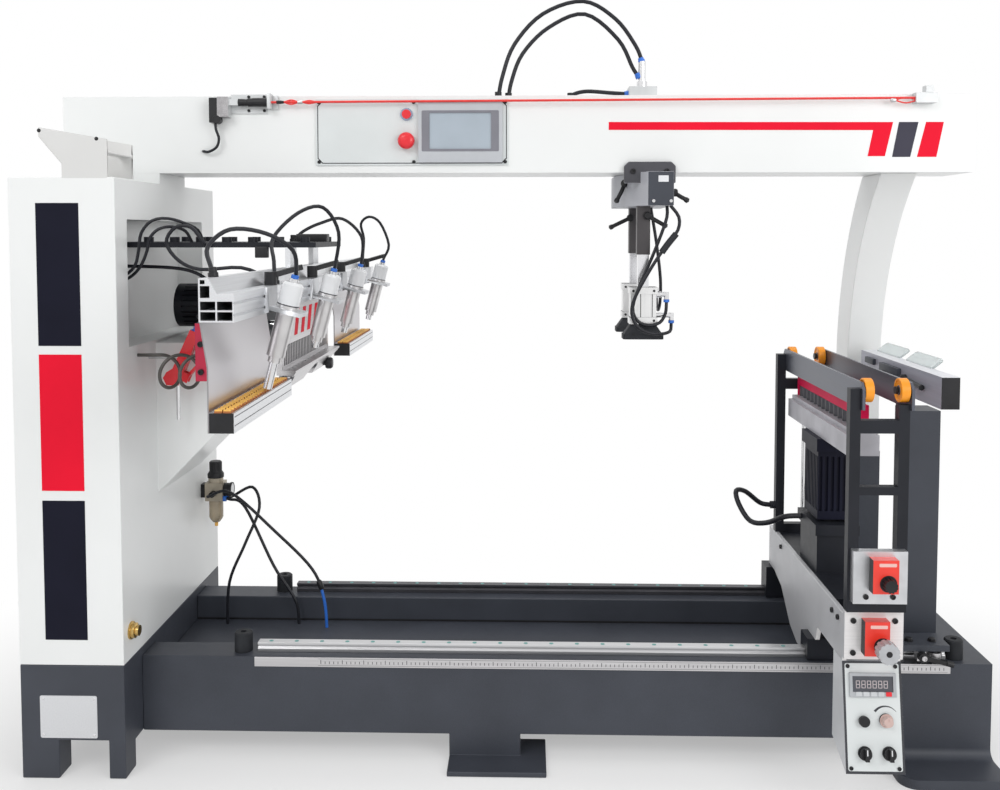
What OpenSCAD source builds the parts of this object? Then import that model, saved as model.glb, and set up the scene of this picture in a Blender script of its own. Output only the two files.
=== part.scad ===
// Two-head line boring machine for panels, in millimetres.
// X runs along the overhead beam, Y from the operator's side to the back, Z up from the floor.

/* [Overall] */
// Length of the overhead beam, which sets the machine's width
machine_w = 2200; // [2000:10:2600]
// Length of the left clamping unit, front to back
unit_len = 1500; // [1400:10:1700]
// Height of the work above the floor
work_h = 925; // [900:1:950]

/* [Base] */
// Width of the left plinth and its column
plinth_w = 235; // [200:1:260]
// Depth of the left plinth and its column
plinth_d = 680; // [640:1:720]
// Height of the left plinth
plinth_h = 260; // [250:1:290]
// Front face of the left plinth
plinth_front = -240; // [-270:1:-200]
// Height of the bed that carries the rails
bed_top = 240; // [220:1:250]
// Free height under the bed beams
bed_clear = 62; // [40:1:90]
// Depth of each bed beam
bed_d = 80; // [70:1:90]
// Front face of the front bed beam
bed_front = -137; // [-150:1:-120]
// Front face of the rear bed beam
rear_front = 250; // [230:1:260]
// Width of the right plinth
right_w = 251; // [230:1:270]
// Wall of the welded boxes
wall = 8; // [5:0.5:12]
// Diameter of a bump stop
bump_d = 42; // [30:1:46]

/* [Gantry] */
// Height of the overhead beam's underside above the work
beam_gap = 445; // [420:1:480]
// Height of the overhead beam
beam_h = 185; // [160:1:220]
// Depth of the overhead beam
beam_d = 180; // [170:1:200]
// Front face of the overhead beam
beam_front = 30; // [10:1:50]
// Width of the curved arm
arm_w = 88; // [70:1:110]
// Inner radius of the curved arm
arm_r = 700; // [680:1:720]
// Thickness of the curved arm, front to back
arm_t = 100; // [80:1:120]

/* [Left unit] */
// Reach of the clamping fence from the column
unit_reach = 350; // [340:1:380]
// Width of the fence extrusion
prof_w = 60; // [56:1:70]
// Height of the fence extrusion
prof_h = 74; // [70:1:84]
// Height of the fence above the work
fence_gap = 148; // [140:1:160]
// Gap from the drill guard to a roller track
track_gap = 90; // [60:1:120]
// Width of a roller track
track_w = 42; // [38:1:50]
// Tilt of the clamp cylinders from the vertical
clamp_tilt = 14.6; // [10:0.1:16]
// Diameter of a clamp rod
clamp_rod_d = 17; // [14:0.5:18]
// Stroke of a clamp
clamp_stroke = 37; // [20:1:38]
// Feed travel of the left head
feed_travel = 60; // [40:1:60]

/* [Boring heads] */
// Number of spindles in each head
spindle_n = 15; // [11:1:15]
// Pitch of the spindles
pitch = 32; // [30:0.5:32]
// Diameter of a spindle nose
nose_d = 20; // [18:0.5:22]
// Diameter of the drill shank socket
socket_d = 10; // [8:0.5:12]
// Depth of the drill shank socket
socket_h = 20; // [15:1:22]
// Middle of both spindle rows, front to back
head_y = -10; // [-14:1:0]
// Lift travel of the right head
lift_travel = 65; // [40:1:65]

/* [Carriage] */
// Width of the right carriage
car_w = 122; // [120:1:130]
// Square tube of the upright frame
tube = 22; // [20:1:24]
// Diameter of a support wheel
wheel_d = 50; // [44:1:54]
// Width of a support wheel
wheel_w = 18; // [14:1:19]
// Diameter of a wheel's axle
axle_d = 10; // [8:0.5:12]
// Height of a support bar
bar_h = 56; // [54:1:64]
// Diameter of the lift guide rods
guide_d = 20; // [16:1:24]

/* [Presser] */
// Middle of the presser along the beam
press_x = 314; // [250:1:500]
// Side of the presser's sliding tubes
press_tube = 26; // [22:1:28]
// Wall of the sleeves that hold those tubes
sleeve_t = 2.5; // [2:0.5:4]
// Diameter of a presser rod
press_rod_d = 16; // [12:0.5:20]
// Width of a presser pad
pad_w = 98; // [80:1:110]
// Free height from the work to a raised pad
pad_gap = 42; // [40:1:60]

/* [Controls] */
// Diameter of the stop button's head
stop_d = 40; // [36:1:42]
// Diameter of the selector knobs
selector_d = 24; // [20:0.5:26]
// Diameter of the lower handwheel
handwheel_d = 44; // [38:1:48]

/* [Clearances] */
// Radial clearance of a shaft in its bore
run_fit = 0.05; // [0.02:0.01:0.1]
// Gap between faces that slide past each other
slide_gap = 0.3; // [0.2:0.05:0.5]

/* [Hidden] */
$fn = 48;

// Colours as the machine shows them
white_paint = [0.93, 0.93, 0.92];
dark_paint = [0.27, 0.29, 0.30];
steel = [0.72, 0.72, 0.73];
alu = [0.80, 0.81, 0.83];
black = [0.08, 0.08, 0.09];
red = [0.83, 0.08, 0.12];
crimson = [0.70, 0.05, 0.20];
orange = [0.98, 0.60, 0.12];
counter_red = [0.95, 0.27, 0.12];

// Places along X
half_w = machine_w / 2;
col_x0 = -half_w;
col_x1 = col_x0 + plinth_w;
right_inset = 4;
right_x1 = half_w - right_inset;
right_x0 = right_x1 - right_w;
park_gap = 29;
car_x1 = right_x0 - park_gap;
car_x0 = car_x1 - car_w;
car_x = (car_x0 + car_x1) / 2;
prof_x0 = col_x1 + unit_reach;
prof_x1 = prof_x0 + prof_w;

// Places along Y
plinth_back = plinth_front + plinth_d;
bed_back = bed_front + bed_d;
rear_back = rear_front + bed_d;
beam_back = beam_front + beam_d;
unit_y0 = -unit_len / 2;
unit_y1 = unit_len / 2;
post_y0 = -352;
rear_post_y0 = 245;
front_face_y = post_y0 + tube + 2;

// Places along Z
beam_z = work_h + beam_gap;
col_top = beam_z - 25;
beam_top = beam_z + beam_h;
prof_z0 = work_h + fence_gap;
prof_z1 = prof_z0 + prof_h;
track_top = work_h - 5;
track_h = 34;
spindle_z = work_h + 20;
gear_z0 = work_h - 180;

// A box from its lowest and highest corners
module block(lo, hi) {
    translate(lo) cube(hi - lo);
}

// A welded box with a sealed hollow
module hollow_box(lo, hi, t) {
    difference() {
        block(lo, hi);
        block(lo + [t, t, t], hi - [t, t, t]);
    }
}

// An outline in the YZ plane, swept along X from x0 to x1
module sweep_x(x0, x1) {
    translate([x0, 0, 0]) rotate([90, 0, 90]) linear_extrude(x1 - x0) children();
}

// An outline in the XZ plane, swept along Y from y0 to y1
module sweep_y(y0, y1) {
    translate([0, y1, 0]) rotate([90, 0, 0]) linear_extrude(y1 - y0) children();
}

// A round bar along X, Y or Z from its start point
module rod_x(p, d, l) {
    translate(p) rotate([0, 90, 0]) cylinder(d = d, h = l);
}
module rod_y(p, d, l) {
    translate(p) rotate([-90, 0, 0]) cylinder(d = d, h = l);
}
module rod_z(p, d, l) {
    translate(p) cylinder(d = d, h = l);
}

// A smooth route through hand-chosen points
function mid_of(p, i, t) = let(
    a = p[max(i - 1, 0)], b = p[i], c = p[i + 1], d = p[min(i + 2, len(p) - 1)])
    0.5 * (2 * b + (c - a) * t + (2 * a - 5 * b + 4 * c - d) * t * t + (3 * b - a - 3 * c + d) * t * t * t);
function route(p, n) = concat(
    [for (i = [0:len(p) - 2], k = [0:n - 1]) mid_of(p, i, k / n)], [p[len(p) - 1]]);
function unit(v) = v / norm(v);
function heading(p, i) = unit(p[min(i + 1, len(p) - 1)] - p[max(i - 1, 0)]);

// A round tube along a route; ref is a direction that the route never follows
module tube_along(p, d, sides, ref) {
    rings = len(p);
    points = [for (i = [0:rings - 1]) let(t = heading(p, i), s = unit(cross(ref, t)), u = cross(t, s))
        for (k = [0:sides - 1]) p[i] + d / 2 * (cos(360 * k / sides) * s + sin(360 * k / sides) * u)];
    sides_of = [for (i = [0:rings - 2], k = [0:sides - 1]) let(
        a = i * sides + k, b = i * sides + (k + 1) % sides)
        each [[a, a + sides, b], [b, a + sides, b + sides]]];
    first = [for (k = [1:sides - 2]) [0, k, k + 1]];
    last_at = (rings - 1) * sides;
    last = [for (k = [1:sides - 2]) [last_at, last_at + k + 1, last_at + k]];
    polyhedron(points = points, faces = concat(sides_of, first, last));
}

// Left plinth: a welded box on two feet with a lifting pocket in front
foot_len = 60;
pocket_w = 112;
pocket_h = 88;
pocket_x0 = col_x0 + 85;
module left_plinth() {
    color(dark_paint) difference() {
        block([col_x0, plinth_front, 0], [col_x1, plinth_back, plinth_h]);
        block([col_x0 - 1, plinth_front + foot_len, -1], [col_x1 + 1, plinth_back - foot_len, bed_clear]);
        block([pocket_x0, plinth_front - 1, -1], [pocket_x0 + pocket_w, plinth_front + foot_len, pocket_h]);
        block([col_x0 + wall, plinth_front + wall, pocket_h + wall],
              [col_x1 - wall, plinth_back - wall, plinth_h - wall]);
    }
}

// Front bed beam with its middle foot
mid_foot_x = -65;
mid_foot_w = 165;
flange_t = 12;
flange_reach = 75;
module front_bed_beam() {
    color(dark_paint) union() {
        hollow_box([col_x1, bed_front, bed_clear], [right_x0, bed_back, bed_top], wall);
        block([mid_foot_x - mid_foot_w / 2, bed_front, 0],
              [mid_foot_x + mid_foot_w / 2, bed_back, bed_clear]);
        block([mid_foot_x - mid_foot_w / 2, bed_front - flange_reach, 0],
              [mid_foot_x + mid_foot_w / 2 + 60, bed_back, flange_t]);
    }
}

// Rear bed beam with the tray that closes the bed
tray_z = 170;
tray_t = 6;
module rear_bed_beam() {
    color(dark_paint) union() {
        hollow_box([col_x1, rear_front, bed_clear], [right_x0, rear_back, bed_top], wall);
        block([col_x1, bed_back, tray_z], [right_x0, rear_front, tray_z + tray_t]);
    }
}

// Right plinth with a flanged foot
right_back = 460;
foot_reach = 103;
foot_t = 22;
module right_plinth() {
    color(dark_paint) union() {
        hollow_box([right_x0, bed_front, 0], [right_x1, right_back, bed_top], wall);
        difference() {
            block([right_x0 + 15, bed_front - foot_reach, 0], [right_x1, bed_front, foot_t]);
            translate([right_x0 + 15, bed_front - foot_reach, -1]) difference() {
                translate([-1, -1, 0]) cube([41, 41, foot_t + 2]);
                translate([40, 40, 0]) cylinder(r = 40, h = foot_t + 2);
            }
        }
        sweep_x(right_x0 + 15, right_x1) difference() {
            translate([bed_front - foot_t, foot_t]) square(foot_t);
            translate([bed_front - foot_t, 2 * foot_t]) circle(r = foot_t);
        }
    }
}

// Left column: a welded box with a niche, the head's arm with its gusset, and the bracket on its top
col_wall = 5;
niche_depth = 70;
niche_y0 = plinth_front + 65;
niche_y1 = plinth_back - 100;
niche_z0 = work_h + 42;
niche_z1 = work_h + 329;
head_arm_len = 143;
head_arm_x1 = col_x1 + head_arm_len;
head_arm_y0 = -15;
head_arm_y1 = 315;
head_arm_z0 = work_h - 187;
head_arm_z1 = niche_z0 - 7;
gusset_h = 145;
bracket_t = 3;
bracket_d = 142;
bracket_x0 = col_x0 + 70;
bracket_x1 = col_x1 - 14;
module column() {
    color(white_paint) union() {
        difference() {
            block([col_x0, plinth_front, plinth_h], [col_x1, plinth_back, col_top]);
            block([col_x1 - niche_depth, niche_y0, niche_z0], [col_x1 + 1, niche_y1, niche_z1]);
            difference() {
                block([col_x0 + col_wall, plinth_front + col_wall, plinth_h + col_wall],
                      [col_x1 - col_wall, plinth_back - col_wall, col_top - col_wall]);
                block([col_x1 - niche_depth - col_wall, niche_y0 - col_wall, niche_z0 - col_wall],
                      [col_x1, niche_y1 + col_wall, niche_z1 + col_wall]);
            }
        }
        block([col_x0, beam_front, col_top], [col_x1, beam_back, beam_z]);
        hollow_box([col_x1, head_arm_y0, head_arm_z0], [head_arm_x1, head_arm_y1, head_arm_z1], wall);
        sweep_y(head_arm_y0, head_arm_y1) polygon([
            [col_x1, head_arm_z0], [head_arm_x1, head_arm_z0], [col_x1, head_arm_z0 - gusset_h]]);
        bracket_sheets();
    }
}
module bracket_side() {
    polygon([[bracket_x0 + 50, col_top], [bracket_x1, col_top], [bracket_x1, col_top + 82],
             [bracket_x0, col_top + 108], [bracket_x0, col_top + 88], [bracket_x0 + 50, col_top + 29]]);
}
module bracket_sheets() {
    sweep_y(plinth_front, plinth_front + bracket_t) bracket_side();
    sweep_y(plinth_front + bracket_d - bracket_t, plinth_front + bracket_d) bracket_side();
    block([bracket_x0 + 50, plinth_front, col_top],
          [bracket_x1, plinth_front + bracket_d, col_top + bracket_t]);
    block([bracket_x1 - 30, plinth_front, col_top + 52],
          [bracket_x1 - 2, plinth_front + bracket_d, col_top + 56]);
}

// Overhead beam
beam_wall = 6;
module overhead_beam() {
    color(white_paint) difference() {
        hollow_box([-half_w, beam_front, beam_z], [half_w, beam_back, beam_top], beam_wall);
        rod_y([control_x, beam_front - 1, stop_z], stop_stem_d + 4, beam_wall + 2);
    }
}

// Curved arm under the right end of the beam
arm_inset = 111;
arm_x1 = right_x1 - arm_inset;
arm_x0 = arm_x1 - arm_w;
arm_foot_y = 311;
arm_drop = 520;
arm_foot_h = 214;
arm_bend_z = beam_z - arm_drop;
arm_split_z = arm_bend_z - arm_foot_h;
module curved_arm() {
    color(white_paint) union() {
        intersection() {
            translate([arm_x0, arm_foot_y - arm_r, arm_bend_z]) rotate([90, 0, 90])
                rotate_extrude(angle = 80, $fn = 128) translate([arm_r, 0]) square([arm_t, arm_w]);
            block([arm_x0, beam_front, arm_bend_z], [arm_x1, arm_foot_y + arm_t, beam_z]);
        }
        block([arm_x0, arm_foot_y, arm_split_z], [arm_x1, arm_foot_y + arm_t, arm_bend_z]);
    }
}

// Two posts on the right plinth: one under the fence, one under the curved arm
fence_post_w = 78;
fence_post_x0 = right_x1 - 164;
fence_post_y0 = -30;
fence_post_d = 80;
fence_z0 = work_h - 80;
fence_post_top = fence_z0 - 41;
module right_posts() {
    color(dark_paint) union() {
        hollow_box([fence_post_x0, fence_post_y0, bed_top],
                   [fence_post_x0 + fence_post_w, fence_post_y0 + fence_post_d, fence_post_top], wall);
        block([fence_post_x0 + 3, fence_post_y0 + 20, fence_post_top],
              [fence_post_x0 + 23, fence_post_y0 + 60, fence_z0]);
        rod_z([fence_post_x0 + 12, fence_post_y0 + 8, fence_post_top], 8, fence_z0 - fence_post_top);
        rod_z([fence_post_x0 + 12, fence_post_y0 + 8, fence_z0 - 9], 16, 9);
    }
    color(dark_paint)
        hollow_box([arm_x0 - 2, arm_foot_y - 6, bed_top],
                   [arm_x1 + 2, arm_foot_y + arm_t + 6, arm_split_z], wall);
}

// Two linear rails and the rule on the front of the bed
rail_w = 22;
rail_h = 23;
rail_y = bed_front + 37;
rail_rear_y = rear_front + 50;
rail_x0 = col_x1 + 265;
rail_x1 = right_x1 - 96;
rear_rail_x1 = arm_x0 - bump_d - 6;
rule_h = 22;
rule_t = 3;
module rail_section(y) {
    difference() {
        translate([y - rail_w / 2, bed_top]) square([rail_w, rail_h]);
        for (s = [-1, 1])
            translate([y + s * rail_w / 2, bed_top + 13]) rotate(45) square(6, center = true);
    }
}
module linear_rails() {
    color(steel) {
        sweep_x(rail_x0, rail_x1) rail_section(rail_y);
        sweep_x(rail_x0, rear_rail_x1) rail_section(rail_rear_y);
        block([rail_x0, bed_front - rule_t, bed_top - rule_h], [rail_x1, bed_front, bed_top]);
    }
}

// Rubber bump stops at both ends of both rails
bump_h = 45;
bump_left_x = rail_x0 - 36;
bump_right_x = rail_x1 + bump_d / 2 + 1;
module bump_stop(x, y) {
    translate([x, y, bed_top]) rotate_extrude() polygon([
        [0, 0], [bump_d / 2, 0], [bump_d / 2, bump_h - 3], [bump_d / 2 - 3, bump_h],
        [7, bump_h], [7, bump_h - 6], [0, bump_h - 6]]);
}
module bump_stops() {
    color(black) {
        for (y = [rail_y, rail_rear_y]) bump_stop(bump_left_x, y);
        bump_stop(bump_right_x, rail_y);
        bump_stop(rear_rail_x1 + bump_d / 2 + 1, rail_rear_y);
    }
}

// Control panel on the beam: backing plate, touch screen and indicator lamp
panel_x0 = -480;
panel_w = 467;
panel_h = 159;
panel_z0 = beam_z + 18;
panel_t = 4;
panel_y = beam_front - panel_t;
screen_w = 202;
screen_h = 149;
screen_t = 9;
screen_x0 = panel_x0 + panel_w - screen_w - 15;
screen_z0 = panel_z0 + 6;
control_x = screen_x0 - 29;
lamp_z = panel_z0 + 122;
stop_z = panel_z0 + 58;
module control_panel() {
    color(white_paint) difference() {
        block([panel_x0, panel_y, panel_z0], [panel_x0 + panel_w, beam_front, panel_z0 + panel_h]);
        rod_y([control_x, panel_y - 1, stop_z], stop_stem_d + 2 * run_fit, panel_t + 2);
    }
    color([0.35, 0.37, 0.40]) difference() {
        block([screen_x0, panel_y - screen_t, screen_z0],
              [screen_x0 + screen_w, panel_y, screen_z0 + screen_h]);
        block([screen_x0 + 24, panel_y - screen_t - 1, screen_z0 + 30],
              [screen_x0 + screen_w - 24, panel_y - screen_t + 2, screen_z0 + screen_h - 28]);
    }
    color(red) rod_y([control_x, panel_y - 10, lamp_z], 22, 10);
    color(steel) difference() {
        rod_y([control_x, panel_y - 4, lamp_z], 30, 4);
        rod_y([control_x, panel_y - 5, lamp_z], 22, 6);
    }
}

// Stop button: a mushroom head on a stem that slides in the panel
stop_stem_d = 22;
stop_travel = 6;
module stop_button() {
    color(red) translate([control_x, panel_y, stop_z]) rotate([90, 0, 0]) {
        translate([0, 0, -panel_t + 1]) cylinder(d = stop_stem_d, h = panel_t + stop_travel + 7);
        translate([0, 0, stop_travel + 4]) rotate_extrude() polygon([
            [0, 0], [stop_d / 2, 0], [stop_d / 2, 7], [stop_d / 2 - 3, 12], [stop_d / 2 - 9, 15], [0, 16]]);
    }
}

// Fittings on the beam: the pull-cord switch, its cord and anchor, and the air manifold
switch_x0 = panel_x0 - 253;
switch_z = beam_top - 20;
cord_d = 5;
cord_y = beam_front - 18;
anchor_x = half_w - 150;
anchor_z = beam_top - 5;
manifold_x = press_x + 3;
manifold_y = beam_front + 90;
manifold_w = 68;
manifold_h = 30;
fitting_h = 95;
fitting_top = beam_top + fitting_h;
switch_drop = 45;
module beam_fittings() {
    color(black)
        block([switch_x0, beam_front - 26, switch_z - switch_drop],
              [switch_x0 + 20, beam_front, switch_z + 14]);
    color(alu) {
        block([switch_x0 + 20, beam_front - 28, switch_z - 32],
              [switch_x0 + 47, beam_front, switch_z + 16]);
        block([switch_x0 + 47, beam_front - 4, switch_z - 22],
              [switch_x0 + 135, beam_front, switch_z + 24]);
        block([switch_x0 + 47, beam_front - 24, switch_z - 4],
              [switch_x0 + 70, beam_front - 4, switch_z + 10]);
    }
    color(black) translate([switch_x0 + 70, cord_y, switch_z + 3]) rotate([0, 90, 0])
        rotate_extrude() polygon([[0, 0], [9, 0], [8, 20], [10, 24], [10, 34], [4, 70], [0, 70]]);
    color(red) pull_cord();
    color(alu) {
        block([anchor_x, cord_y - 8, anchor_z - 18], [anchor_x + 50, beam_front, anchor_z + 6]);
        block([anchor_x + 22, cord_y - 10, anchor_z + 6], [anchor_x + 40, beam_front - 4, anchor_z + 22]);
    }
    color(alu) {
        block([manifold_x - manifold_w / 2, manifold_y - 30, beam_top],
              [manifold_x + manifold_w / 2, manifold_y + 30, beam_top + manifold_h]);
        rod_z([manifold_x, manifold_y, beam_top + manifold_h], 26, 15);
        rod_z([manifold_x, manifold_y, beam_top + manifold_h + 15],
              18, fitting_top - beam_top - manifold_h - 15);
    }
}
module pull_cord() {
    a = [switch_x0 + 140, cord_y, switch_z + 3];
    b = [anchor_x, cord_y, anchor_z - 6];
    translate(a) rotate([0, acos((b - a)[2] / norm(b - a)), 0]) cylinder(d = cord_d, h = norm(b - a));
}

// Fence beam on the right post: a hollow bar with caps
fence_x0 = fence_post_x0 - 12;
fence_w = 40;
fence_h = 70;
fence_y0 = -250;
fence_y1 = arm_foot_y - 41;
fence_t = 4;
module fence_beam() {
    color(steel) difference() {
        block([fence_x0, fence_y0 + 5, fence_z0], [fence_x0 + fence_w, fence_y1 - 5, fence_z0 + fence_h]);
        block([fence_x0 + fence_t, fence_y0, fence_z0 + fence_t],
              [fence_x0 + fence_w - fence_t, fence_y1, fence_z0 + fence_h - fence_t]);
    }
    color(black) for (y = [fence_y0, fence_y1 - 5])
        block([fence_x0, y, fence_z0], [fence_x0 + fence_w, y + 5, fence_z0 + fence_h]);
}

// Bracket that carries the clamping fence from the column's niche
plate_t = 12;
plate_y = 150;
plate_z = prof_z1 + 44;
plate_x0 = col_x1 - niche_depth;
plate_x1 = prof_x1 + 10;
bolt_n = 7;
module unit_bracket() {
    color(black) {
        block([plate_x0, -plate_y, plate_z], [plate_x1, plate_y, plate_z + plate_t]);
        for (k = [0:bolt_n - 1], s = [-1, 1])
            rod_z([col_x1 + 30 + k * (plate_x1 - col_x1 - 60) / (bolt_n - 1), s * (plate_y - 25),
                   plate_z + plate_t], 22, 12);
    }
    color(alu) for (s = [-1, 1])
        block([prof_x0, s > 0 ? plate_y - 60 : -plate_y, prof_z1],
              [prof_x0 + spacer_w, s > 0 ? plate_y : 60 - plate_y, plate_z]);
}
spacer_w = 12;

// Bracket on the arm's end with the left head's guide rods and feed cylinder
pad_t = 32;
pad_len = 60;
rod_z0 = work_h + 75;
rod_d = 24;
rod_ys = [head_arm_y0 + pad_len / 2, head_arm_y1 - pad_len / 2];
feed_y = 230;
feed_z = head_arm_z1 + 24;
feed_d = 44;
feed_rod_d = 16;
feed_rod_z = feed_z;
box_x0 = head_arm_x1 + pad_t + 10;
box_x1 = box_x0 + 80;
module head_bracket() {
    color(crimson) for (y = rod_ys) difference() {
        block([head_arm_x1, y - pad_len / 2, work_h - 45],
              [head_arm_x1 + pad_t, y + pad_len / 2, work_h + 117]);
        rod_x([head_arm_x1 - 1, y, rod_z0], rod_d, pad_t + 2);
    }
    color(steel) for (y = rod_ys) rod_x([head_arm_x1, y, rod_z0], rod_d, box_x1 + 55 - head_arm_x1);
    color(alu) difference() {
        union() {
            rod_x([col_x1 + 15, feed_y, feed_z], feed_d, head_arm_len - 25);
            block([col_x1 + 40, feed_y - 12, head_arm_z1], [col_x1 + 90, feed_y + 12, feed_z]);
        }
        rod_x([col_x1 + 30, feed_y, feed_z], feed_rod_d + 2 * run_fit, head_arm_len);
    }
}

// Left head: gearbox, motor and feed rod in one moving group
box_y0 = head_y - (spindle_n - 1) * pitch / 2 - 46;
box_y1 = rod_ys[1] + 25;
box_z0 = spindle_z - 40;
box_z1 = spindle_z + 85;
motor_d = 110;
motor_y = 150;
motor_z = work_h + 115;
module left_gearbox() {
    color(dark_paint) difference() {
        block([box_x0, box_y0, box_z0], [box_x1, box_y1, box_z1]);
        for (y = rod_ys) rod_x([box_x0 - 1, y, rod_z0], rod_d + 2 * run_fit, box_x1 - box_x0 + 2);
        block([box_x0 + wall, box_y0 + wall, box_z0 + wall],
              [box_x1 - wall, rod_ys[0] - rod_d, box_z1 - wall]);
    }
    color(black) difference() {
        rod_x([col_x1 + 5, motor_y, motor_z], motor_d, box_x0 - col_x1 - 5);
        for (a = [0:15:345]) translate([0, motor_y, motor_z]) rotate([a, 0, 0])
            block([col_x1 + 25, -2, motor_d / 2 - 6], [box_x0 - 20, 2, motor_d]);
    }
    color(steel) rod_x([col_x1 + 32, feed_y, feed_rod_z], feed_rod_d, box_x0 - col_x1 - 32);
}
nose_len = 25;
module left_spindles() {
    color(steel) for (k = [0:spindle_n - 1])
        translate([box_x1, head_y + (k - (spindle_n - 1) / 2) * pitch, spindle_z]) rotate([0, 90, 0])
        difference() {
            cylinder(d = nose_d, h = nose_len);
            translate([0, 0, nose_len - socket_h]) cylinder(d = socket_d, h = socket_h + 1);
        }
}

// Guard in front of the left head: cover plate, slotted comb and chip tray
guard_x1 = prof_x0 + 17;
guard_t = 12;
guard_x0 = guard_x1 - guard_t;
guard_y0 = head_y - (spindle_n - 1) * pitch / 2 - 26;
guard_y1 = head_y + (spindle_n - 1) * pitch / 2 + 26;
comb_z0 = work_h + 8;
comb_z1 = work_h + 52;
tray_out = 30;
module drill_guard() {
    color(steel) union() {
        difference() {
            block([guard_x0, guard_y0, work_h - 2], [guard_x1, guard_y1, prof_z0]);
            for (k = [0:2 * spindle_n - 2])
                translate([0, head_y + (k - spindle_n + 1) * pitch / 2, 0])
                    block([guard_x0 - 1, -(pitch / 2 - 4) / 2, comb_z0],
                          [guard_x1 + 1, (pitch / 2 - 4) / 2, comb_z1]);
            block([guard_x0 - 1, guard_y0 - 1, comb_z1 + 10], [guard_x1 - 4, guard_y1 + 1, prof_z0 - 10]);
        }
        difference() {
            sweep_y(guard_y0, guard_y1) polygon([
                [guard_x0, work_h], [guard_x1 + tray_out, work_h], [guard_x1 + tray_out, work_h - 4],
                [guard_x1, work_h - 45], [guard_x0, work_h - 45]]);
            for (y = [guard_y0, (guard_y0 + guard_y1) / 2, guard_y1])
                rod_x([guard_x0 - 1, y, work_h - 60], 100, guard_t + tray_out + 2);
            for (k = [0:spindle_n - 1])
                rod_z([guard_x1 + 8, head_y + (k - (spindle_n - 1) / 2) * pitch, work_h - 20], 8, 30);
        }
    }
}

// Fence extrusion
prof_low = 48;
rib = 3;
module profile_outline() {
    polygon([[0, 0], [prof_w, 0], [prof_w, prof_low], [31, prof_low], [17, prof_h], [0, prof_h]]);
}
module profile_cells() {
    cell_w = (prof_w - 3 * rib) / 2;
    cell_h = (prof_low - 10 - 3 * rib) / 2;
    for (i = [0, 1], j = [0, 1])
        translate([rib + i * (cell_w + rib), rib + j * (cell_h + rib)]) square([cell_w, cell_h]);
    translate([rib, prof_low - 7]) square([16, prof_h - prof_low - 6]);
    translate([rib, prof_h - 10]) square([8, 7]);
    for (z = [12, 32]) translate([prof_w, z]) rotate(45) square(4, center = true);
}
module fence_profile() {
    color(alu) translate([prof_x0, 0, prof_z0]) sweep_y(unit_y0, unit_y1) difference() {
        profile_outline();
        profile_cells();
    }
}

// Bent back plates from the fence down to the roller tracks, one at each end of the unit
sheet = 2.5;
track_len = unit_len / 2 - (guard_y1 - guard_y0) / 2 - track_gap;
track_x0 = prof_x0 + 15;
track_x1 = track_x0 + track_w;
track_z0 = track_top - track_h;
module for_each_end() {
    for (y = [unit_y0, unit_y1 - track_len]) translate([0, y, 0]) children();
}
module back_plates() {
    color(steel) for_each_end() sweep_y(0, track_len) polygon([
        [prof_x0 + 1, prof_z0], [prof_x0 + 1 + sheet, prof_z0], [track_x0, prof_z0 - 77], [track_x0, track_z0],
        [track_x0 - sheet, track_z0], [track_x0 - sheet, prof_z0 - 77]]);
}

// Roller tracks with end caps, and their double rows of rollers
cap_t = 4;
groove_w = 30;
groove_h = 12;
module roller_tracks() {
    for_each_end() {
        color(alu) sweep_y(cap_t, track_len - cap_t) difference() {
            translate([track_x0, track_z0]) square([track_w, track_h]);
            translate([(track_x0 + track_x1 - groove_w) / 2, track_top - groove_h])
                square([groove_w, groove_h + 1]);
            translate([track_x0 + 4, track_z0 + 4]) square([track_w - 8, track_h - groove_h - 8]);
        }
        color(black) for (y = [0, track_len - cap_t])
            block([track_x0, y, track_z0], [track_x1, y + cap_t, track_top]);
    }
}
roller_pitch = 16;
roller_d = 14;
module track_rollers() {
    rows = floor((track_len - 2 * cap_t - roller_d) / roller_pitch);
    mid = (track_x0 + track_x1) / 2;
    color(orange) for_each_end() union() {
        block([mid - groove_w / 2, cap_t, track_top - groove_h],
              [mid + groove_w / 2, track_len - cap_t, track_top - 4]);
        for (k = [0:rows], s = [0, 1])
            rod_x([mid - groove_w / 2 + 1 + s * (groove_w / 2), cap_t + roller_d / 2 + 1 + k * roller_pitch,
                   work_h - roller_d / 2], roller_d, groove_w / 2 - 2);
    }
}

// Clamps along the fence: bracket, cylinder, lever and rod
clamp_ys = [unit_y0 + 230, -140, 220, unit_y1 - 125];
clamp_top_x = prof_x1 + 45;
clamp_top_z = prof_z0 + 52;
clamp_d = 41;
tube_end = 140;
nose_end = 152;
rod_out = 15;
rod_len = 110;
shelf_z = -54;
module at_clamp(y) {
    translate([clamp_top_x, y, clamp_top_z]) rotate([0, clamp_tilt, 0]) children();
}
module clamp_brackets() {
    color(alu) for (y = clamp_ys) difference() {
        union() {
            block([prof_x1, y - 32, prof_z0 + 2], [prof_x1 + 7, y + 32, prof_z0 + prof_low]);
            intersection() {
                at_clamp(y) block([-70, -32, shelf_z], [34, 32, shelf_z + 8]);
                block([prof_x1, y - 40, prof_z0 - 60], [prof_x1 + 120, y + 40, prof_z1]);
            }
        }
        at_clamp(y) translate([0, 0, shelf_z - 1]) cylinder(d = 35, h = 10);
    }
}
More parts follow.
